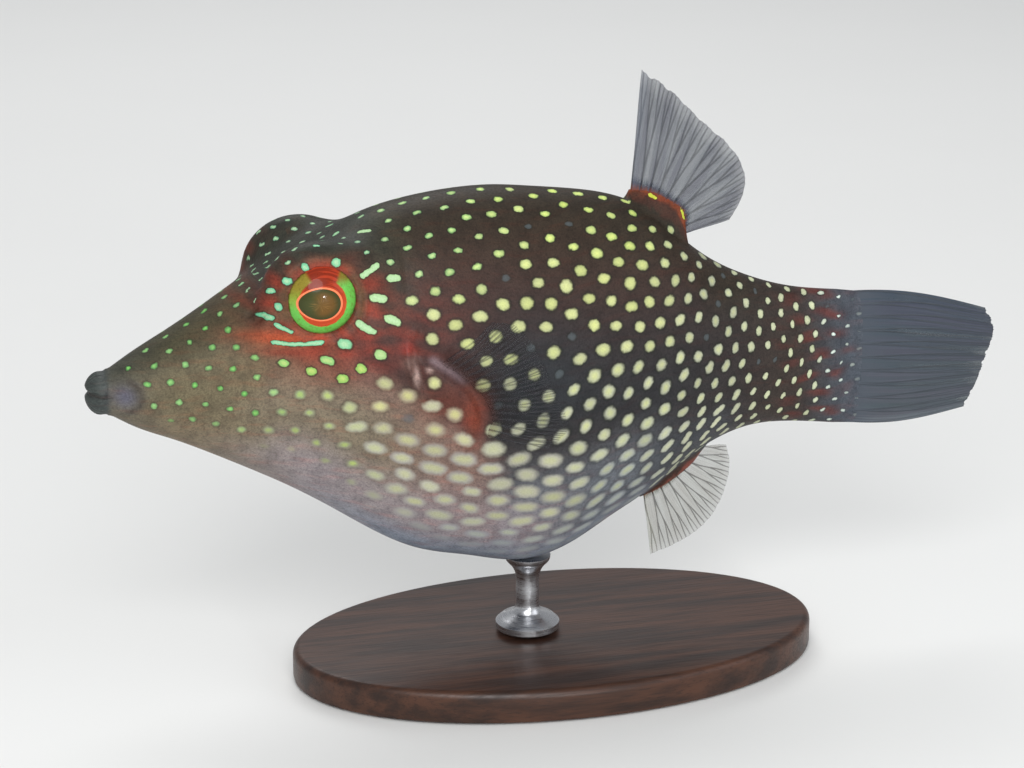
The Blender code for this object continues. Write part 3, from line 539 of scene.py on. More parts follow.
# Marks set round the eye: tailward and up from the eye's middle, half length, half width, tilt
# in degrees and bend
EYE_MARKS = (
    (1.35, 3.3, 0.4, 0.35, 0, 0),
    (-1.42, 3.1, 0.38, 0.31, 115, 0),
    (4.35, 2.2, 1.15, 0.24, 37, 0.05),
    (6.4, 1.42, 0.66, 0.31, 14, 0),
    (4.88, -0.08, 0.8, 0.35, 3, 0),
    (6.00, -2.00, 0.72, 0.38, -14, 0),
    (3.62, -2.52, 0.94, 0.34, -27, 0.06),
    (1.75, -3.88, 0.62, 0.44, -12, 0),
    (0.22, -5.3, 0.62, 0.36, -12, 0),
    (4.8, -4.92, 0.5, 0.43, -20, 0),
    (3.1, -6.1, 0.45, 0.42, 0, 0),
    (-1.15, -6.25, 0.44, 0.38, -5, 0),
    (1.5, -7.00, 0.48, 0.4, 0, 0),
    (-2.22, -3.74, 2.22, 0.19, 3, 0.035),
    (-3.42, -2.3, 0.86, 0.2, -24, 0.08),
    (-4.75, -1.35, 0.64, 0.26, -10, 0),
    (-3.85, -0.32, 0.36, 0.28, 90, 0),
    (-3.05, 1.92, 0.38, 0.33, 20, 0),
    (-4.4, 0.95, 0.38, 0.2, 25, 0),
    (2.35, 4.5, 0.34, 0.24, 0, 0),
    (-0.2, 4.6, 0.28, 0.13, 0, 0),
    (4.6, 4.9, 0.62, 0.19, -5, 0),
    (-3.45, -5.5, 0.46, 0.32, 0, 0),
)
MARK_HEART, MARK_FRONT, MARK_REAR = srgb(178, 208, 166), srgb(104, 182, 142), srgb(158, 192, 140)
LOW_HEART, LOW_EDGE = srgb(190, 204, 116), srgb(136, 178, 92)
# Yellow marks on the dorsal fin's root: behind the snout tip, arc below the rim, and so on
ROOT_MARKS = ((52.0, 0.55, 0.48, 0.15, -35, 0), (54.9, 0.75, 0.6, 0.12, -75, 0.1))
ROOT_MARK_TINT = srgb(184, 190, 66)
MARK_BLUR = 0.14


def hand_marks(side):
    """The marks round the eye and on the dorsal fin's root, as rows like those of the natural spots."""
    rows = []
    for along, up, length, width, tilt, bend in EYE_MARKS:
        lower = float(smooth(-4.0, -6.0, up))
        heart = mix(MARK_HEART, LOW_HEART, lower)
        edge = mix(mix(MARK_FRONT, MARK_REAR, float(smooth(0, 5, along))), LOW_EDGE, lower)
        place = (EYE_U + along, side.arc_at(EYE_U + along, EYE_Z + up))
        shape = (radians(tilt), length, width, MARK_BLUR, bend, 1.0, 1.0)
        rows.append([*place, *shape, *mix(edge, heart, 0.6), *edge])
    for u, down, length, width, tilt, bend in ROOT_MARKS:
        shape = (radians(tilt), length, width, MARK_BLUR, bend, 1.0, 0.6)
        rows.append([u, float(side.top(u)) - down, *shape, *ROOT_MARK_TINT, *ROOT_MARK_TINT])
    return np.array(rows)


def spot_distance(du, dv, spot):
    """How far places are from a spot's middle, where 1 is its edge."""
    tilt, length, width, bend = spot[2], spot[3], spot[4], spot[6]
    along, across = du * cos(tilt) + dv * sin(tilt), dv * cos(tilt) - du * sin(tilt)
    bluntness = 2 + 1.6 * max(length / width - 1.45, 0)
    return np.sqrt(np.abs(along / length) ** bluntness + ((across - bend * along**2) / width) ** 2)


SPOT_RANGE = 4.5  # spots further apart than this don't touch
ROOM_USED = 0.97


def without_overlap(spots):
    """The spots with those made smaller whose soft edges would run into a neighbour's."""
    for spot in spots:
        du, dv = spots[:, 0] - spot[0], spots[:, 1] - spot[1]
        near = (np.hypot(du, dv) < SPOT_RANGE) & (np.hypot(du, dv) > 0)
        if near.any():
            own = spot_distance(du[near], dv[near], spot)
            theirs = np.array([spot_distance(spot[0] - s[0], spot[1] - s[1], s) for s in spots[near]])
            room = (own * theirs / (own + theirs)).min() / (1 + spot[5])
            spot[3:5] *= min(1, ROOM_USED * room)
    return spots


EYE_CLEAR, MOUTH_CLEAR, MARK_CLEAR = 4.3, 2.0, 1.0
ROOT_CLEAR = (50.5, 56.2, 2.6), (51.0, 58.0, 2.2)  # dorsal and anal root: from and to, and how deep
LINES_CLEAR = (PECTORAL_BASE, 0.35), (GILL, 0.1)


def all_spots(side):
    """The listed marks, and the natural spots that are clear of them, the fins, mouth and gill."""
    marks, spots = hand_marks(side), natural_spots(side)
    u, v = spots[:, 0], spots[:, 1]
    clear = np.hypot(u - EYE_U, v - side.arc_at(EYE_U, EYE_Z)) > EYE_CLEAR
    for mark in marks:
        wider = [*mark[:3], mark[3] + MARK_CLEAR, mark[4] + MARK_CLEAR, 0, mark[6]]
        clear &= spot_distance(u - mark[0], v - mark[1], wider) > 1
    for gap, (start, end, deep) in zip((side.top(u) - v, v - side.bottom(u)), ROOT_CLEAR):
        clear &= ~((gap < deep) & (u > start) & (u < end))
    clear &= np.hypot(u - MOUTH_CORNER[0], v) > MOUTH_CLEAR
    heights = side.heights[side.cell(u, v)]
    for line, gap in LINES_CLEAR:
        clear &= distance_to_line(u, heights, line)[0] > spots[:, 3] + gap
    return np.concatenate([marks, without_overlap(spots[clear])])


def nearest_spots(spots, u, v):
    """The number of the spot nearest to each place, row by row of the skin's grid."""
    best, chosen = np.full(u.shape, 1e9), np.zeros(u.shape, int)
    for n, spot in enumerate(spots):
        rows = slice(*np.searchsorted(u[:, 0], (spot[0] - SPOT_RANGE, spot[0] + SPOT_RANGE)))
        away = spot_distance(u[rows] - spot[0], v[rows] - spot[1], spot)
        nearer = away < best[rows]
        best[rows] = np.where(nearer, away, best[rows])
        chosen[rows] = np.where(nearer, n, chosen[rows])
    return chosen


# Colours of the skin between the spots
FLANK_DARK, BACK_DARK, SLATE, MAROON = srgb(48, 41, 39), srgb(46, 41, 33), srgb(40, 42, 45), srgb(80, 42, 34)
SNOUT_TOP, SNOUT_BROWN, SNOUT_LOW = srgb(68, 65, 49), srgb(98, 90, 70), srgb(112, 101, 82)
CHEEK_BROWN, GILL_SIDE_BROWN = srgb(112, 102, 86), srgb(118, 95, 85)
BELLY_PINK, BELLY_LILAC, BELLY_ORANGE = srgb(139, 131, 135), srgb(131, 139, 152), srgb(176, 116, 70)
LOWER_GREY, REAR_GREY, OUTLINE_DARK = srgb(98, 102, 108), srgb(58, 61, 66), srgb(24, 30, 22)
EYE_RED, EYE_FLAME, LID_BROWN = srgb(132, 52, 38), srgb(160, 70, 42), srgb(88, 66, 44)
GILL_RED, GILL_GREY, GILL_PALE = srgb(140, 58, 50), srgb(118, 94, 86), srgb(190, 164, 154)
# The crease colour is painted shade for the mouth's creases
# The lip colour is partly the lips' own dusky grey and partly painted shade, as the snout tip lies in shadow
LIP_GREY_AND_SHADE, LIP_CORNER, CREASE_SHADE = srgb(62, 67, 65), srgb(96, 95, 108), srgb(54, 48, 46)
TAIL_RED, TAIL_BLUE, STEM_BROWN = srgb(92, 47, 41), srgb(69, 75, 83), srgb(52, 45, 41)
ROOT_RED, ROOT_ORANGE, ROOT_PURPLE = srgb(108, 53, 38), srgb(112, 56, 34), srgb(116, 98, 102)
ANAL_RED, ROOT_DARK, BROW_DARK_AND_SHADE = srgb(124, 66, 56), srgb(64, 42, 34), srgb(48, 49, 42)


def main_colour(u, z, low, out):
    """The skin's colour between its spots, with painted shade near the mouth, behind the pectoral fin and on
    the domes over the eyes.
    """
    colour = np.empty((*u.shape, 3))
    colour[:] = FLANK_DARK

    def lay(tint, share):
        colour[:] = mix(colour, tint, np.clip(share, 0, 1)[..., None])

    def zone(at_u, at_z, length, height):
        return bell(u - at_u, length) * bell(z - at_z, height)

    def eye_zone(tailward, up, length, height):
        return zone(EYE_U + tailward, EYE_Z + up, length, height)

    lay(BACK_DARK, smooth(0.62, 0.85, low))
    lay(MAROON, 0.22 * zone(38, 9, 10, 5) + 0.12 * zone(52, 8, 7, 3) + 0.35 * zone(31, 6, 4, 5))
    # The first patch is painted shadow of the pectoral fin on the flank; the second is the rear lower flank's
    # own slate tone
    lay(SLATE, 0.95 * zone(38.5, 0.5, 6.0, 6.0) + 0.75 * zone(50, -2, 9, 5.5))
    lay(REAR_GREY, smooth(0.4, 0.22, low) * smooth(40, 48, u) * fading(56, 62, u))
    lay(LOWER_GREY, smooth(0.45, 0.25, low) * smooth(30, 40, u) * fading(46, 54, u))
    lay(BELLY_PINK, smooth(0.5, 0.3, low) * fading(27, 37, u))
    lay(BELLY_PINK, smooth(0.34, 0.2, low) * fading(34, 46, u))
    wedge = smooth(-1.4, 1.4, 1.4 - 0.74 * (u - 25.6) - z)
    lay(GILL_SIDE_BROWN, 0.9 * wedge * smooth(20, 25, u) * fading(32.5, 37, u))
    lay(SNOUT_BROWN, fading(15, 25, u + 6 * (low - 0.5)))
    lay(CHEEK_BROWN, fading(23, 32, u) * smooth(10, 16, u) * smooth(0.58, 0.4, low))
    lay(SNOUT_LOW, fading(12, 20, u) * smooth(0.48, 0.25, low))
    lay(SNOUT_TOP, smooth(0.6, 0.86, low) * fading(22, 30, u))
    # The tops of the domes over the eyes are darker, partly from their own dark grey and partly as painted
    # shade
    lay(BROW_DARK_AND_SHADE, smooth(12, 16, u) * fading(24, 29, u) * smooth(0.64, 0.76, low))
    lay(BELLY_PINK, 0.8 * smooth(0.36, 0.2, low) * smooth(8, 20, u) * fading(30, 40, u))
    lay(BELLY_LILAC, smooth(0.19, 0.09, low) * smooth(16, 28, u) * fading(47, 55, u))
    lay(BELLY_ORANGE, 0.6 * smooth(0.12, 0.04, low) * bell(u - 47.0, 1.8))
    lay(STEM_BROWN, smooth(58, 64, u))

    # Reds round the eye
    turn, away = np.arctan2(z - EYE_Z, u - EYE_U), np.hypot(u - EYE_U, z - EYE_Z)
    wave = 0.5 + 0.5 * np.sin(11 * turn + 1.8 * np.sin(2 * turn + 1) + 0.7 * away)
    beside = smooth(3.0, 5.0, out) * fading(EYE_Z + 3.4, EYE_Z + 4.4, z)
    beside = beside * (1 - 0.75 * smooth(EYE_Z + 1.8, EYE_Z + 3.4, z))
    lay(EYE_RED, beside * smooth(6.8, 3.6, away) * (0.2 + 0.7 * wave))
    lines = 0.5 + 0.5 * np.sin(z * 4.2 + u * 0.35 + np.sin(u * 0.9))
    ragged = np.clip(lines + 0.35 * np.sin(u * 1.9 + z * 2.3 + 1.5 * np.sin(z * 1.7)), 0, 1)
    lay(EYE_RED, 0.48 * eye_zone(5.8, -3.0, 4.2, 3.4) * (0.15 + 0.85 * ragged))
    lay(EYE_FLAME, 0.9 * eye_zone(-3.4, -3.3, 3.6, 0.75))
    lay(EYE_RED, 0.7 * eye_zone(-3.0, -4.5, 3.0, 0.5))
    lay(EYE_RED, 0.4 * eye_zone(0.5, -5.8, 5.0, 1.9))
    lay(EYE_RED, 0.35 * eye_zone(-6.0, -0.5, 2.6, 1.4) * (0.3 + 0.7 * lines))
    on_side = out > CHEEK_OUT
    lay(LID_BROWN, on_side * 0.85 * bell(away - LID_RADIUS - 0.35, 0.45) * smooth(-3.2, -0.8, z - EYE_Z))
    lay(EYE_RED, on_side * 0.8 * bell(away - LID_RADIUS - 0.2, 0.4) * smooth(1.8, 2.6, z - EYE_Z))

    # Gill opening and the pectoral fin's root
    lay(GILL_RED, 0.9 * zone(27.3, 4.35, 0.6, 0.65))
    lay(GILL_GREY, 0.9 * zone(27.4, 3.1, 0.6, 0.65))
    lay(GILL_PALE, 0.8 * zone(28.0, 1.9, 0.26, 0.75) + 0.8 * zone(29.1, 2.4, 0.3, 0.18))
    lay(ROOT_RED, 0.55 * zone(30.6, -0.6, 2.6, 1.9))
    lay(ROOT_RED, 0.95 * zone(33.0, -2.2, 1.2, 2.6))
    root_away, root_share, _ = distance_to_line(u, z, PECTORAL_BASE)
    lay(ROOT_PURPLE, on_side * 0.8 * bell(root_away, 0.38) * fading(0.26, 0.46, root_share))

    # Lips, with painted shade at the snout tip and in the mouth's creases, and the tail's end
    corner_away = np.hypot(u - MOUTH_CORNER[0], z - MOUTH_CORNER[1])
    # Painted shade: the snout darkens towards its tip
    lay(LIP_GREY_AND_SHADE, 0.45 * fading(2.5, 8.0, u))
    lay(LIP_GREY_AND_SHADE, fading(1.7, 2.4, u))
    lay(LIP_CORNER, 0.9 * bell(corner_away, 1.0))
    # Painted shade in the crease round the mouth's corner and along the mouth line
    lay(CREASE_SHADE, 0.6 * smooth(-0.2, 0.6, u - MOUTH_CORNER[0]) * bell(corner_away - CREASE_RADIUS, 0.25))
    lay(CREASE_SHADE, 0.7 * bell(z - MOUTH_LINE, 0.16) * fading(1.6, 2.4, u))
    flames = np.clip(0.4 + 0.8 * np.sin(z * 3.3 + 0.7 * np.sin(u)) + 0.3 * np.sin(z * 7.1), 0, 1)
    broken = 0.55 + 0.45 * np.sin(u * 1.7 + z * 1.3 + np.sin(z * 2.7))
    lay(TAIL_BLUE, smooth(65.0, 72.5, u))
    lay(TAIL_RED, 0.75 * smooth(62, 67, u) * fading(69, 73.5, u) * flames * broken)
    return colour


def with_root_tints(colour, lobed, plain):
    """The skin's colours with those of the dorsal and anal fins' fleshy roots laid over them."""
    u, z = lobed[..., 0], lobed[..., 2]
    raised = np.abs(z - plain[..., 2])
    share = raised / np.maximum(raised.max(axis=1, keepdims=True), 0.6)
    rim = np.where(z[..., None] > 0, ROOT_ORANGE, ANAL_RED)
    blotches = np.sin(u * 5 + 2 * np.sin(u * 2.3)) * np.sin(z * 4 + 1)
    ragged = share + 0.14 * blotches + np.where(z > 0, 0.5 * smooth(54.2, 55.3, u), 0.3)
    for tint, edge in ((ROOT_DARK, 0.2), (rim, 0.62)):
        colour = mix(colour, tint, (smooth(edge, edge + 0.3, ragged) * smooth(0.15, 0.6, raised))[..., None])
    return colour


def sum_node(operation, swapped=False):
    """A method of Wire that adds a node for one sum and gives its output."""

    def add(wire, other=0.0):
        kind = "ShaderNodeMath" if wire.socket.type == "VALUE" else "ShaderNodeVectorMath"
        return wire.material.node(kind, (other, wire) if swapped else (wire, other), operation=operation)

    return add


class Wire:
    """The output of a material's node, to be reckoned with as with a number, vector or colour."""

    __add__ = __radd__ = sum_node("ADD")
    __mul__ = __rmul__ = sum_node("MULTIPLY")
    __sub__, __rsub__ = sum_node("SUBTRACT"), sum_node("SUBTRACT", swapped=True)
    __truediv__, __pow__, __abs__ = sum_node("DIVIDE"), sum_node("POWER"), sum_node("ABSOLUTE")
    at_least, at_most = sum_node("MAXIMUM"), sum_node("MINIMUM")
    fraction, angle_over = sum_node("FRACT"), sum_node("ARCTAN2")

    def __init__(self, material, socket):
        self.material, self.socket = material, socket

    def step(self, low, high, to_low=0.0, to_high=1.0):
        inputs = (self, low, high, to_low, to_high)
        return self.material.node("ShaderNodeMapRange", inputs, interpolation_type="SMOOTHSTEP")

    def blend(self, a, b, kind="MIX"):
        """Colour a where the wire is 0 and b, or a times b, where it is 1."""
        inputs = {0: self, 6: a, 7: b}
        return self.material.node("ShaderNodeMix", inputs, 2, data_type="RGBA", blend_type=kind)

    def tint(self, colour, tint):
        return self.blend(colour, tint, "MULTIPLY")

    def parts(self):
        split = self.material.node("ShaderNodeSeparateXYZ", (self,)).socket.node
        return [Wire(self.material, output) for output in split.outputs]


class Material:
    """A material and short ways to add and join its nodes."""

    def __init__(self, name, **sockets):
        self.made = bpy.data.materials.new(name)
        self.made.use_nodes = True
        self.tree = self.made.node_tree
        self.set(**sockets)

    def set(self, **sockets):
        for name, value in sockets.items():
            self.join(self.tree.nodes["Principled BSDF"].inputs[name.replace("_", " ")], value)

    def join(self, socket, value):
        if isinstance(value, Wire):
            self.tree.links.new(value.socket, socket)
        elif socket.type == "RGBA":
            socket.default_value = (*value, 1)
        else:
            socket.default_value = value

    def node(self, kind, inputs=(), output=0, **settings):
        made = self.tree.nodes.new(kind)
        for name, value in settings.items():
            setattr(made, name, value)
        for key, value in inputs.items() if isinstance(inputs, dict) else enumerate(inputs):
            self.join(made.inputs[key], value)
        return Wire(self, made.outputs[output])

    def noise(self, scale, detail, vector, roughness=0.55, output=0):
        inputs = {"Vector": vector, "Scale": scale, "Detail": detail, "Roughness": roughness}
        return self.node("ShaderNodeTexNoise", inputs, output)

    def joined(self, x, y):
        return self.node("ShaderNodeCombineXYZ", (x, y))

    def place(self, drawn=(1, 1, 1)):
        """The place on the piece in millimetres, times a number along each axis."""
        return self.node("ShaderNodeTexCoord", output=3) * tuple(number / MM for number in drawn)

    def attribute(self, name, output=0):
        return self.node("ShaderNodeAttribute", output=output, attribute_name=name)

    def bump(self, height, strength, distance):
        inputs = {"Height": height, "Strength": strength, "Distance": distance * MM}
        self.set(Normal=self.node("ShaderNodeBump", inputs))


def skin_material():
    skin = Material("spotted_skin", Specular_IOR_Level=0.14, Coat_Weight=0.03, Coat_Roughness=0.25)
    flat = skin.node("ShaderNodeUVMap", uv_map="OFBake") * (UV_SPAN, UV_SPAN, 0)
    warped = flat + (skin.noise(2.2, 3.0, flat, output=1) - (0.5, 0.5, 0.5)) * (0.34, 0.34, 0)
    spot_u, spot_v, tilt = skin.attribute("spot_place", 1).parts()
    length, width, blur = skin.attribute("spot_shape", 1).parts()
    bend, strength, outline = skin.attribute("spot_more", 1).parts()
    turn_back = {"Vector": warped - skin.joined(spot_u, spot_v), "Angle": tilt * -1.0}
    along, across, _ = skin.node("ShaderNodeVectorRotate", turn_back, rotation_type="Z_AXIS").parts()
    bluntness = (length / width - 1.45).at_least(0.0) * 1.6 + 2.0
    bent = across - bend * along**2.0
    distance = (abs(along / length) ** bluntness + (bent / width) ** 2.0) ** 0.5
    outer = blur + 1.0
    mask = distance.step(1.0 - blur, outer, 1.0, 0.0) * strength
    rim = distance.step(outer, outer + 0.45, 0.62, 0.0) * outline * strength

    mottle, pores = skin.noise(0.7, 4.0, flat), skin.noise(3.2, 2.0, flat)
    streaks, grain = skin.noise(1.1, 3.0, flat * (0.3, 1.3, 1)), skin.noise(6.0, 3.0, flat, 0.7)
    ground = skin.attribute("base_tint")
    ground = mottle.step(0.36, 0.66, 0.0, 0.55).tint(ground, (0.55, 0.55, 0.58))
    ground = streaks.step(0.48, 0.72, 0.0, 0.75).tint(ground, (1.22, 0.94, 0.9))
    ground = grain.step(0.42, 0.6, 0.0, 0.6).tint(ground, (1.45, 1.45, 1.42))
    ground = pores.step(0.5, 0.36, 0.0, 0.5).tint(ground, (0.6, 0.6, 0.62))
    ground = rim.blend(ground, OUTLINE_DARK)
    spot = distance.step(0.15, 0.95).blend(skin.attribute("spot_heart"), skin.attribute("spot_edge"))
    spot = grain.step(0.38, 0.66, 0.0, 0.45).tint(spot, (0.7, 0.72, 0.64))
    prickles = skin.noise(5.0, 2.0, flat)
    skin.set(Base_Color=mask.blend(ground, spot), Roughness=prickles.step(0.3, 0.7, 0.42, 0.6))
    skin.bump(mask * 0.3 + prickles * 0.7, 0.35, 0.1)
    return skin.made


def face_spots(side, u, arcs):
    """For each face of the skin's grid, the numbers of the spot nearest to it."""
    wrapped = np.concatenate([arcs, arcs[:, :1]], axis=1)
    middle_v = (wrapped[:-1, :-1] + wrapped[1:, :-1] + wrapped[:-1, 1:] + wrapped[1:, 1:]) / 4
    spots = all_spots(side)
    return spots[nearest_spots(spots, (u[:-1] + u[1:]) / 2, middle_v).reshape(-1)]


def make_skin():
    half_turn = spread(0, pi, SKIN_COLUMNS // 2 + 1, ANGLE_CROWDS)
    angles = np.concatenate([half_turn, 2 * pi - half_turn[-2:0:-1]])
    stops = spread(0.015, STEM_END + CAUDAL_OVERLAP, SKIN_ROWS, STOP_CROWDS)
    plain = np.stack([body_ring(u, angles) for u in stops])
    lobed = with_lobes(plain)
    grid = skin_relief(lobed, surface_normals(plain))
    rows, columns = grid.shape[:2]
    half = columns // 2
    points = np.concatenate([grid.reshape(-1, 3), [grid[0].mean(axis=0)]])
    faces = grid_faces(rows, columns, closed=True, flip=True)
    tip, last = rows * columns, (rows - 1) * columns
    faces += [(tip, (j + 1) % columns, j) for j in range(columns)]
    for j in range(half):  # the thin rear edge is closed from side to side
        around = (j, j + 1, columns - j - 1, (columns - j) % columns)
        faces.append(tuple(last + k for k in dict.fromkeys(around)))
    skin = make_mesh("skin", placed(points), faces)
    mesh = skin.data

    # Arc along each section from the middle of the side, upwards; both sides are alike
    steps = np.linalg.norm(np.diff(lobed[:, : half + 1, 1:], axis=1), axis=2)
    lengths = np.concatenate([np.zeros((rows, 1)), np.cumsum(steps, axis=1)], axis=1)
    middle = np.array([np.interp(pi / 2, half_turn, row) for row in lengths])
    arcs = middle[:, None] - lengths
    side = Side(stops, lobed[:, : half + 1], arcs)
    arcs = np.concatenate([arcs, arcs[:, half - 1 : 0 : -1]], axis=1)

    u = np.broadcast_to(stops[:, None], arcs.shape)
    of_face = face_spots(side, u, arcs)
    caps = np.repeat(of_face[:1] * 0 + 1, columns + half, axis=0)  # at the snout tip and the end
    caps[:, 7] = 0  # no spots there
    of_face = np.concatenate([of_face, caps])
    side_of = np.where(np.arange(columns) < half, SIDE_MIDDLES[1], SIDE_MIDDLES[-1])
    face_side = np.concatenate([np.tile(side_of, rows), side_of[:half]])
    of_face[:, 0] += MAP_START
    of_face[:, 1] += face_side
    for n, name in enumerate(("place", "shape", "more", "heart", "edge")):
        kind = "FLOAT_VECTOR" if n < 3 else "FLOAT_COLOR"
        add_attribute(mesh, "spot_" + name, kind, "FACE", of_face[:, 3 * n : 3 * n + 3])

    colour = main_colour(lobed[..., 0], lobed[..., 2], side.low(u, arcs), np.abs(lobed[..., 1]))
    colour = with_root_tints(colour, lobed, plain).reshape(-1, 3)
    add_attribute(mesh, "base_tint", "FLOAT_COLOR", "POINT", np.concatenate([colour, [LIP_GREY_AND_SHADE]]))

    vertex = np.zeros(len(mesh.loops), np.int32)
    mesh.loops.foreach_get("vertex_index", vertex)
    loop_side = np.repeat(face_side, [len(face) for face in faces])
    flat = [np.append(u, 0.0)[vertex] + MAP_START, np.append(arcs, 0.0)[vertex] + loop_side]
    mesh.uv_layers.new(name="OFBake").data.foreach_set("uv", (np.stack(flat, axis=1) / UV_SPAN).ravel())
    mesh.materials.append(skin_material())
    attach(skin, "root")
    flesh = ["head", "trunk", "tail_stem", "upper_lip", "lower_lip", "dorsal_fin_base", "anal_fin_base"]
    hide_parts(*flesh, "left_pectoral_fin_base", "right_pectoral_fin_base")
    return stops, plain


# Eyes: places on the eyeball are measured from its middle, tailward and up
PUPIL_MIDDLE, PUPIL_HALF_LENGTH, PUPIL_HALF_HEIGHT = (-0.42, -0.02), 1.84, 1.4
RING_INNER, RING_OUTER = 2.1, 3.02
RING_GAP, RING_GAP_HALF = 1.54, 0.46  # radians up from tailward, where the green ring is open
RED_IRIS, ORANGE_IRIS, PINK_RING = srgb(160, 54, 30), srgb(190, 70, 34), srgb(234, 124, 84)
GREEN_RING, LEAF_RING, OLIVE_RING = srgb(98, 176, 74), srgb(130, 152, 56), srgb(130, 118, 42)
# The pupil's brown and pale colours are painted eyeshine, light reflected from inside the eye
PUPIL_OLIVE, PUPIL_SHINE_BROWN, PUPIL_SHINE_PALE = srgb(62, 66, 34), srgb(98, 70, 30), srgb(140, 108, 58)


def eye_material():
    eye = Material("eye", Coat_Weight=1.0, Coat_Roughness=0.02, Coat_IOR=1.18, Specular_IOR_Level=0.1)
    place = eye.place()
    along, _, up = place.parts()
    shifted = along - PUPIL_MIDDLE[0]
    raised = shifted * 0.1 + (up - PUPIL_MIDDLE[1])
    leaning = raised * -0.14 + shifted
    height = (shifted * 0.055 + 1.0) * PUPIL_HALF_HEIGHT  # lower towards the snout
    pupil = ((leaning / PUPIL_HALF_LENGTH) ** 2.0 + (raised / height) ** 2.0) ** 0.5
    radius, turn = (along**2.0 + up**2.0) ** 0.5, up.angle_over(along)
    fine = eye.noise(3.0, 4.0, place)
    wobble = fine * 0.2 - 0.1

    arcs = eye.noise(1.0, 2.0, eye.joined(radius * 5.0, turn * 0.8))
    iris = up.step(-0.4, 1.9).blend(ORANGE_IRIS, RED_IRIS)
    iris = arcs.step(0.44, 0.56, 0.0, up.step(0.4, 1.6, 0.25, 0.9)).blend(iris, RED_IRIS * 0.5)
    ring_place = radius + wobble
    ring = (ring_place - (along * -0.07 + RING_INNER)).step(-0.06, 0.06)  # broader on its tailward side
    ring = ring * abs(turn - RING_GAP).step(RING_GAP_HALF, RING_GAP_HALF + 0.16)
    front = up.step(0.2, 1.5).blend(LEAF_RING, OLIVE_RING)
    rear = up.step(1.2, 2.1).blend(GREEN_RING, OLIVE_RING * 0.8)
    green = up.step(-0.9, 0.7).blend(GREEN_RING, along.step(1.0, -1.0).blend(rear, front))
    green = fine.step(0.5, 0.68, 0.0, 0.4).blend(green, OLIVE_RING * 0.5)
    green = eye.noise(9.0, 2.0, place).step(0.48, 0.62, 0.0, 0.35).tint(green, (1.4, 1.3, 1.5))
    green = ring_place.step(RING_OUTER - 0.16, RING_OUTER + 0.02).blend(green, OLIVE_RING * 0.3)
    iris = ring.blend(iris, green)

    # Painted eyeshine: the pupil is brown towards its tailward side and darker olive at its rim, with pale
    # veins in its middle
    middle = (shifted + wobble).step(-0.9, 0.3).blend(PUPIL_OLIVE, PUPIL_SHINE_BROWN)
    middle = pupil.step(0.55, 0.95).blend(middle, PUPIL_OLIVE * 0.8)
    shine_veins = eye.noise(1.0, 3.0, eye.joined(raised.angle_over(shifted) * 6.0, pupil * 0.7))
    shine_veins = shine_veins.step(0.52, 0.64, 0.0, 0.6) * pupil.step(0.62, 0.2)
    middle = shine_veins.blend(middle, PUPIL_SHINE_PALE)
    seen = pupil.step(0.985, 1.015).blend(middle, iris)
    edge = pupil.step(0.97, 1.0) * pupil.step(1.1, 1.065)
    eye.set(Base_Color=edge.blend(seen, PINK_RING), Roughness=fine.step(0.3, 0.7, 0.26, 0.4))
    return eye.made


def make_eye(side, name):
    """An eyeball whose front bulges as the cornea does."""
    rings, columns = 48, 72
    radius, depth = EYE_RADIUS * 0.985, side * EYE_HALF_DEPTH * 0.99
    points = []
    for turn in np.linspace(0.03, pi - 0.03, rings):
        ring = radius * sin(turn)
        for angle in np.linspace(0, 2 * pi, columns, endpoint=False):
            points.append((ring * cos(angle), depth * cos(turn), ring * sin(angle)))
    points += [(0, depth, 0), (0, -depth, 0)]
    faces = grid_faces(rings, columns, closed=True, flip=side < 0)
    front, rear = rings * columns, rings * columns + 1
    for j in range(columns):
        k = (j + 1) % columns
        near, far = (front, j, k), (rear, (rings - 1) * columns + k, (rings - 1) * columns + j)
        faces += [near, far] if side > 0 else [near[::-1], far[::-1]]
    eye = make_mesh(name + "_ball", np.array(points) * MM, faces)
    eye.location = placed((EYE_U, side * EYE_OUT, EYE_Z))
    eye.data.materials.append(eye_material())
    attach(eye, "root")
    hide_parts(name)


# Fins
MEMBRANE_HALF, RAY_HALF, EDGE_HALF, ROOT_SUNK = 0.06, 0.17, 0.03, 0.9
FORKS = ((0.12, 0.7, 0.25), (0.48, 0.98, 0.125))  # from and to, in shares of a ray, and how far apart


def ray_phase(shares, rays):
    """Where places lie across the nearest ray, -0.5 to 0.5."""
    return (shares * (rays - 1) + 0.5) % 1 - 0.5


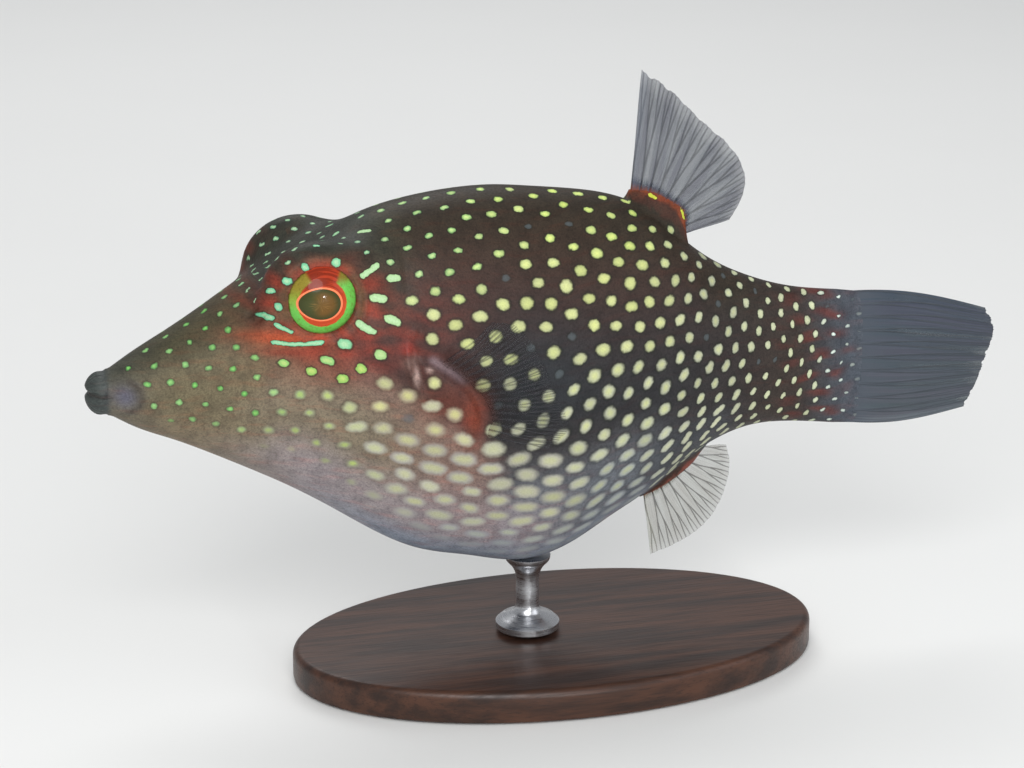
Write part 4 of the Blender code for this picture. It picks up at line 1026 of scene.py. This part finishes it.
def fin_sheet(node, middle, across, rays, material, root_half, shares, ray_strength=1.0):
    """A thin closed sheet about a grid of points, root to tip, with rays raised on both faces."""
    rows, columns = middle.shape[:2]
    along = np.linspace(0, 1, rows)[:, None]
    phase = ray_phase(shares, rays)[None, :]
    first, second = (fork * smooth(low, high, along) for low, high, fork in FORKS)
    branches = [a * first + b * second for a in (-1, 1) for b in (-1, 1)]
    ray_width = 0.075 - 0.03 * smooth(0.1, 0.7, along)
    ridge = np.max([bell(phase - branch, ray_width) for branch in branches], axis=0)
    half = MEMBRANE_HALF + (RAY_HALF - MEMBRANE_HALF) * ridge * (1 - 0.8 * along) * ray_strength
    half = half + (root_half - RAY_HALF) * np.maximum(1 - along * 7, 0) ** 2
    shift = across * mix(half, EDGE_HALF, smooth(0.9, 1.0, along))[..., None]
    points = np.concatenate([(middle + shift).reshape(-1, 3), (middle - shift).reshape(-1, 3)])
    other = rows * columns
    faces = grid_faces(rows, columns) + grid_faces(rows, columns, offset=other, flip=True)
    rim = list(range(columns)) + [i * columns + columns - 1 for i in range(1, rows)]
    rim += [(rows - 1) * columns + j for j in range(columns - 2, -1, -1)]
    rim += [i * columns for i in range(rows - 2, 0, -1)]
    faces += [(p, q, other + q, other + p) for p, q in zip(rim, rim[1:] + rim[:1])]
    fin = make_mesh(node + "_rayed", placed(points), faces)
    fix_normals(fin.data)
    for field, values in (("outward", along + 0 * ridge), ("sideways", shares + 0 * ridge)):
        add_attribute(fin.data, field, "FLOAT", "POINT", np.tile(values.ravel(), 2))
    flesh = main_colour(middle[..., 0], middle[..., 2], 0.5 + 0 * ridge, np.abs(middle[..., 1]))
    add_attribute(fin.data, "flesh", "FLOAT_COLOR", "POINT", np.tile(flesh.reshape(-1, 3), (2, 1)))
    fin.data.materials.append(material)
    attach(fin, "root")
    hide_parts(node)


def fin_material(
    name, rays, width, web, ray, see, fade, root=None, root_reach=0.14, see_root=0.7, strand=0.2, last=None
):
    """A translucent membrane with darker rays, a pale first ray and flesh colour at the root. See
    gives how solid the membrane, the rays and the fin's edge are, fade where it starts to thin
    towards that edge, strand how solid the fine strands in the membrane are, and last the
    membrane's colour at the last ray."""
    fin = Material(name, Roughness=0.5, Specular_IOR_Level=0.15)
    outward, sideways = fin.attribute("outward", 2), fin.attribute("sideways", 2)
    fine = fin.noise(4.0, 3.0, fin.place())

    def stretched(across, along, low, high):
        return fin.noise(1.0, 3.0, fin.joined(sideways * across, outward * along)).step(low, high)

    strands = stretched(rays * 9.0, 1.3, 0.44, 0.66)
    bands = stretched(rays * 1.1, 0.7, 0.36, 0.64)

    # Hair-thin rays that fork twice on their way out
    waver = fin.noise(1.0, 2.0, fin.joined(sideways * (rays * 1.5), outward))
    away = abs((waver * 0.12 + (sideways * (rays - 1.0) + 0.44)).fraction() - 0.5)
    for low, high, fork in FORKS:
        away = abs(away - outward.step(low, high, 0.0, fork))
    lines = (away / outward.step(0.0, 0.6, width * 1.8, width * 0.7)).step(0.5, 1.5, 1.0, 0.0)

    clear = sideways.blend(web, web if last is None else last)
    clear = clear * bands.blend((1.06, 0.97, 1.05), (0.84, 0.96, 0.97))
    colour = lines.blend((strands * 0.5).tint(clear, (1.3, 1.3, 1.3)), ray)
    first = sideways.step(0.06, 0.03) * strands.step(0.2, 0.8, 0.3, 0.9)
    colour = first.blend(colour, web * 1.9)
    ragged = strands * (root_reach * 0.35) + outward
    flesh = fin.attribute("flesh") if root is None else root
    colour = ragged.step(root_reach, root_reach * 0.4).blend(colour, flesh)

    alpha = lines.at_least(strands * strand) * (see[1] - see[0]) + see[0]
    alpha = alpha + (0.5 - bands) * (0.3 * see[0])
    alpha = alpha * (strands * 0.1 + outward).step(fade, 1.06, 1.0, see[2])
    alpha = (alpha + ragged.step(root_reach + 0.06, root_reach * 0.3, 0.0, see_root)).at_most(1.0)
    fin.set(Base_Color=colour, Alpha=(alpha * (fine * 0.1 + 0.95)).at_most(1.0))
    fin.bump(strands * 0.5 + fine, 0.2, 0.04)
    return fin.made


def tip_notches(shares, rays, depth):
    """A fin's edge drawn back a little between its rays, unevenly."""
    uneven = 0.5 + 0.5 * np.sin(shares * 31.0) * np.sin(shares * 17.0 + 1.0)
    fringe = 0.35 * np.abs(np.sin(shares * (rays - 1) * pi * 4))
    return 1 - depth * ((np.abs(ray_phase(shares, rays)) * 2) ** 2 * (0.4 + uneven) + fringe)


def fin_grid(starts, ends, notches, rows, moved):
    """Points between two lines, drawn back to the notches at the tip and moved row by row."""
    grid = []
    for row in np.linspace(0, 1, rows):
        out = (ends - starts) * row * (1 - row + row * notches)[:, None]
        grid.append(starts + out + np.stack(moved(row), axis=-1))
    return np.array(grid)


def upright_fin(
    name, root, tip, rays, rows, material, slot, root_half, sway, bow=0.0, notch=0.02, pleat=0.08, flat_to=0.0
):
    """A fin in the fish's middle plane, from a root line to a tip line, that waves beyond its flat part."""
    shares = np.linspace(0, 1, (rays - 1) * COLUMNS_PER_RAY + 1)
    waves = sway * np.sin(pi * (0.2 + 1.5 * shares)) + pleat * np.cos(2 * pi * ray_phase(shares, rays))

    def moved(row):
        return 0 * shares, waves * smooth(flat_to, 1.0, row), bow * sin(pi * row) * (shares - 0.5)

    starts, ends = (np.insert(through(line)(shares), 1, 0, axis=1) for line in (root, tip))
    middle = fin_grid(starts, ends, tip_notches(shares, rays, notch), rows, moved)
    fin_sheet(name, middle, np.zeros_like(middle) + (0, 1, 0), rays, material, root_half, shares)


def sunk_root(rim, centre):
    """A fin's root line, moved from its rim towards a centre so that it is sunk in flesh."""
    points = through(rim)(np.linspace(0, 1, 9))
    step = np.asarray(centre, float) - points
    return points + step / np.linalg.norm(step, axis=1, keepdims=True) * ROOT_SUNK


def pectoral_fin(side, name, material, stops, plain):
    shares = np.linspace(0, 1, (PECTORAL_RAYS - 1) * COLUMNS_PER_RAY + 1)
    feet = []
    for u, z in through(PECTORAL_BASE)(np.linspace(0, 1, 13)):
        ring = plain[np.argmin(np.abs(stops - u)), : plain.shape[1] // 2 + 1]
        feet.append(ring[np.argmin(np.abs(ring[:, 2] - z))] * (1, side, 1))
    starts = through(np.array(feet) + (0.55, side * 0.45, 0))(0.02 + 0.96 * shares)
    flat = through(PECTORAL_TIP)(shares)
    out = PECTORAL_TIP_OUT - 0.9 * np.abs(shares - 0.45)
    ends = np.stack([flat[:, 0], side * out, flat[:, 1]], axis=-1)
    pleats = 0.03 * np.cos(2 * pi * ray_phase(shares, PECTORAL_RAYS))

    def moved(row):
        return 0 * shares, side * (0.5 * sin(pi * row) + row * pleats), 0 * shares

    middle = fin_grid(starts, ends, tip_notches(shares, PECTORAL_RAYS, 0.03), 44, moved)
    across = surface_normals(middle, closed=False)
    fin_sheet(name, middle, across, PECTORAL_RAYS, material, 0.2, shares, 0.5)


def make_fins(stops, plain):
    smoky, olive, grey = srgb(64, 70, 80), srgb(104, 104, 84), srgb(72, 77, 81)
    hairs, brown, slate, last = srgb(46, 50, 58), srgb(52, 50, 42), srgb(60, 65, 71), srgb(60, 66, 76)
    see = (0.5, 0.68, 0.7)
    dorsal = fin_material("fin_membrane", DORSAL_RAYS, 0.05, smoky, hairs, see, 0.84, ROOT_ORANGE)
    anal = fin_material("anal_membrane", ANAL_RAYS, 0.045, olive, brown, (0.17, 0.52, 0.6), 0.8, ANAL_RED)
    at_root = {"root_reach": 0.45, "see_root": 1.0}
    tail = fin_material(
        "tail_membrane", CAUDAL_RAYS, 0.05, grey, slate, (0.96, 0.98, 0.8), 0.9, last=last, **at_root
    )
    at_root = {"root_reach": 0.16, "see_root": 0.15, "strand": 0.0}
    thin, see = srgb(50, 50, 53), (0.04, 0.4, 0.7)
    clear = fin_material("pectoral_membrane", PECTORAL_RAYS, 0.085, SLATE, thin, see, 0.85, **at_root)
    root = sunk_root(DORSAL_RIM, (51.5, 11.0))
    upright_fin("dorsal_fin", root, DORSAL_TIP, DORSAL_RAYS, 60, dorsal, "fin_membrane", 0.3, 0.9)
    root = sunk_root(ANAL_RIM, (54.0, -9.5))
    upright_fin("anal_fin", root, ANAL_TIP, ANAL_RAYS, 50, anal, "fin_membrane", 0.28, -0.8)
    level, height = section(STEM_END)[:2]
    root = [(STEM_END - 0.6, level + share * (height - 0.3)) for share in (-1, -0.5, 0, 0.5, 1)]
    shape = (1.6, 0.014, 0.06, 0.3)  # bow, notch, pleat and how far it is flat
    upright_fin("caudal_fin", root, CAUDAL_TIP, CAUDAL_RAYS, 70, tail, "tail_membrane", 0.45, 0.8, *shape)
    pectoral_fin(-1, "left_pectoral_fin", clear, stops, plain)
    pectoral_fin(1, "right_pectoral_fin", clear, stops, plain)


# Stand: radius and depth below the rod's top of the cup that holds the belly
CUP_PROFILE = ((1.1, 2.6), (1.25, 2.0), (1.7, 1.3), (2.1, 0.8), (2.15, 0.45))


def wood_material():
    wood = Material("stand_wood", Specular_IOR_Level=0.35, Coat_Weight=0.08, Coat_Roughness=0.35)
    rings = wood.noise(1.0, 5.0, wood.place((0.05, 0.55, 0.55)), 0.6)
    lines = wood.noise(6.0, 3.0, wood.place((0.04, 1.0, 1.0)))
    colour = rings.step(0.35, 0.65).blend(srgb(72, 44, 30), srgb(40, 24, 17))
    colour = lines.step(0.5, 0.7, 0.0, 0.5).blend(colour, srgb(26, 15, 11))
    wood.set(Base_Color=colour, Roughness=lines.step(0.3, 0.7, 0.36, 0.5))
    wood.bump(lines, 0.25, 0.05)
    return wood.made


def steel_material():
    steel = Material("stand_steel", Metallic=1.0, Base_Color=srgb(196, 197, 200))
    turned = steel.noise(3.0, 3.0, steel.place((0.2, 0.2, 9.0)))
    steel.set(Roughness=turned.step(0.3, 0.7, 0.22, 0.38))
    steel.bump(turned, 0.15, 0.02)
    return steel.made


def turned_solid(name, x, rings, material, node):
    """A closed solid through oval rings about an upright line: half length, half width, height."""
    columns = 128
    angles = np.linspace(0, 2 * pi, columns, endpoint=False)
    points = [(x + long * cos(turn), wide * sin(turn), z) for long, wide, z in rings for turn in angles]
    faces = grid_faces(len(rings), columns, closed=True)
    faces += [tuple(range(columns)), tuple(reversed(range(len(points) - columns, len(points))))]
    made = make_mesh(name, np.array(points) * MM, faces)
    fix_normals(made.data)
    made.data.set_sharp_from_angle(angle=radians(35))
    made.data.materials.append(material)
    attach(made, "root")
    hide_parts(node)


def make_stand():
    low, high = node_box("stand_base")
    half_length, half_width, top = *((high - low) / 2)[:2], high[2]
    edge = 0.7
    insets = [(edge, 0.0), (0.1, 0.25), (0, 0.6), (0, top - edge)]  # from the plate's outline, and heights
    for turn in np.linspace(0.2, pi / 2, 6):
        insets.append((edge * (1 - cos(turn)), top - edge + edge * sin(turn)))
    rings = [(half_length - inset, half_width - inset, height) for inset, height in insets]
    turned_solid("stand_plate", 0, rings, wood_material(), "stand_base")

    low, high = node_box("stand_rod")
    foot, cup, widest = low[2], high[2], (high[0] - low[0]) / 2
    disc = ((widest - 0.15, 0), (widest, 0.15), (widest, 0.7), (widest - 0.5, 1.15))
    stem = [(radius, foot + up) for radius, up in ((1.5, 1.5), (1.15, 2.0), (1.1, 3.0))]
    stem += [(radius, cup - down) for radius, down in CUP_PROFILE]
    profile = [(radius, foot + up) for radius, up in disc] + [*through(stem)(np.linspace(0, 1, 26))]
    rings = [(radius, radius, height) for radius, height in profile]
    turned_solid("stand_pillar", (low[0] + high[0]) / 2, rings, steel_material(), "stand_rod")


# Studio: the camera's turn and rise in degrees, how far it stands away, and what it looks at
CAMERA_TURN, CAMERA_RISE, CAMERA_AWAY, CAMERA_LENS = radians(-15.0), radians(18.0), 260.0, 100.0
CAMERA_TARGET = (-4.2, 0.0, AXIS_Z - 2.4)
LIGHTS_AIM = (0, 0, 0.028)  # this and the lights' places are in metres


def make_camera():
    level = cos(CAMERA_RISE)
    back = np.array((sin(CAMERA_TURN) * level, -cos(CAMERA_TURN) * level, sin(CAMERA_RISE)))
    camera = add_object("camera", bpy.data.cameras.new("camera"))
    camera.data.lens = CAMERA_LENS
    camera.data.sensor_width = 36.0
    camera.data.clip_start = 0.01
    camera.location = (np.array(CAMERA_TARGET) + back * CAMERA_AWAY) * MM
    camera.rotation_euler = (pi / 2 - CAMERA_RISE, 0, CAMERA_TURN)
    bpy.context.scene.camera = camera


def make_light(name, place, size, watts, colour=(1, 1, 1)):
    light = add_object(name, bpy.data.lights.new(name, "AREA"))
    light.data.shape = "DISK"
    light.data.size = size
    light.data.energy = watts
    light.data.color = colour
    light.location = place
    aim = np.array(LIGHTS_AIM) - np.array(place)
    light.rotation_euler = (acos(-aim[2] / np.linalg.norm(aim)), 0, atan2(aim[1], aim[0]) - pi / 2)


def make_studio():
    material = Material("floor", Roughness=0.85)
    grain = material.noise(0.03, 3.0, material.place()).step(0.3, 0.7, 0.0, 0.06)
    material.set(Base_Color=grain.blend((0.76, 0.76, 0.745), (0.68, 0.68, 0.67)))
    floor = make_mesh("floor", [(-3, -3, 0), (3, -3, 0), (3, 3, 0), (-3, 3, 0)], [(0, 1, 2, 3)])
    floor.data.materials.append(material.made)
    world = bpy.data.worlds.new("studio")
    world.use_nodes = True
    world.node_tree.nodes["Background"].inputs[0].default_value = (0.8, 0.82, 0.85, 1)
    world.node_tree.nodes["Background"].inputs[1].default_value = 0.5
    bpy.context.scene.world = world
    make_light("key", (-0.1, -0.36, 0.27), 0.28, 1.5)
    make_light("catch", (0.03, -0.36, 0.05), 0.032, 0.26)
    make_light("fill", (0.32, -0.22, 0.2), 0.3, 0.35, (0.95, 0.97, 1.0))
    make_light("top", (0.0, 0.3, 0.45), 0.4, 1.2)
    bpy.context.scene.view_settings.view_transform = "Standard"


make_camera()
make_studio()
body_stops, body_points = make_skin()
make_eye(-1, "left_eye")
make_eye(1, "right_eye")
make_fins(body_stops, body_points)
make_stand()

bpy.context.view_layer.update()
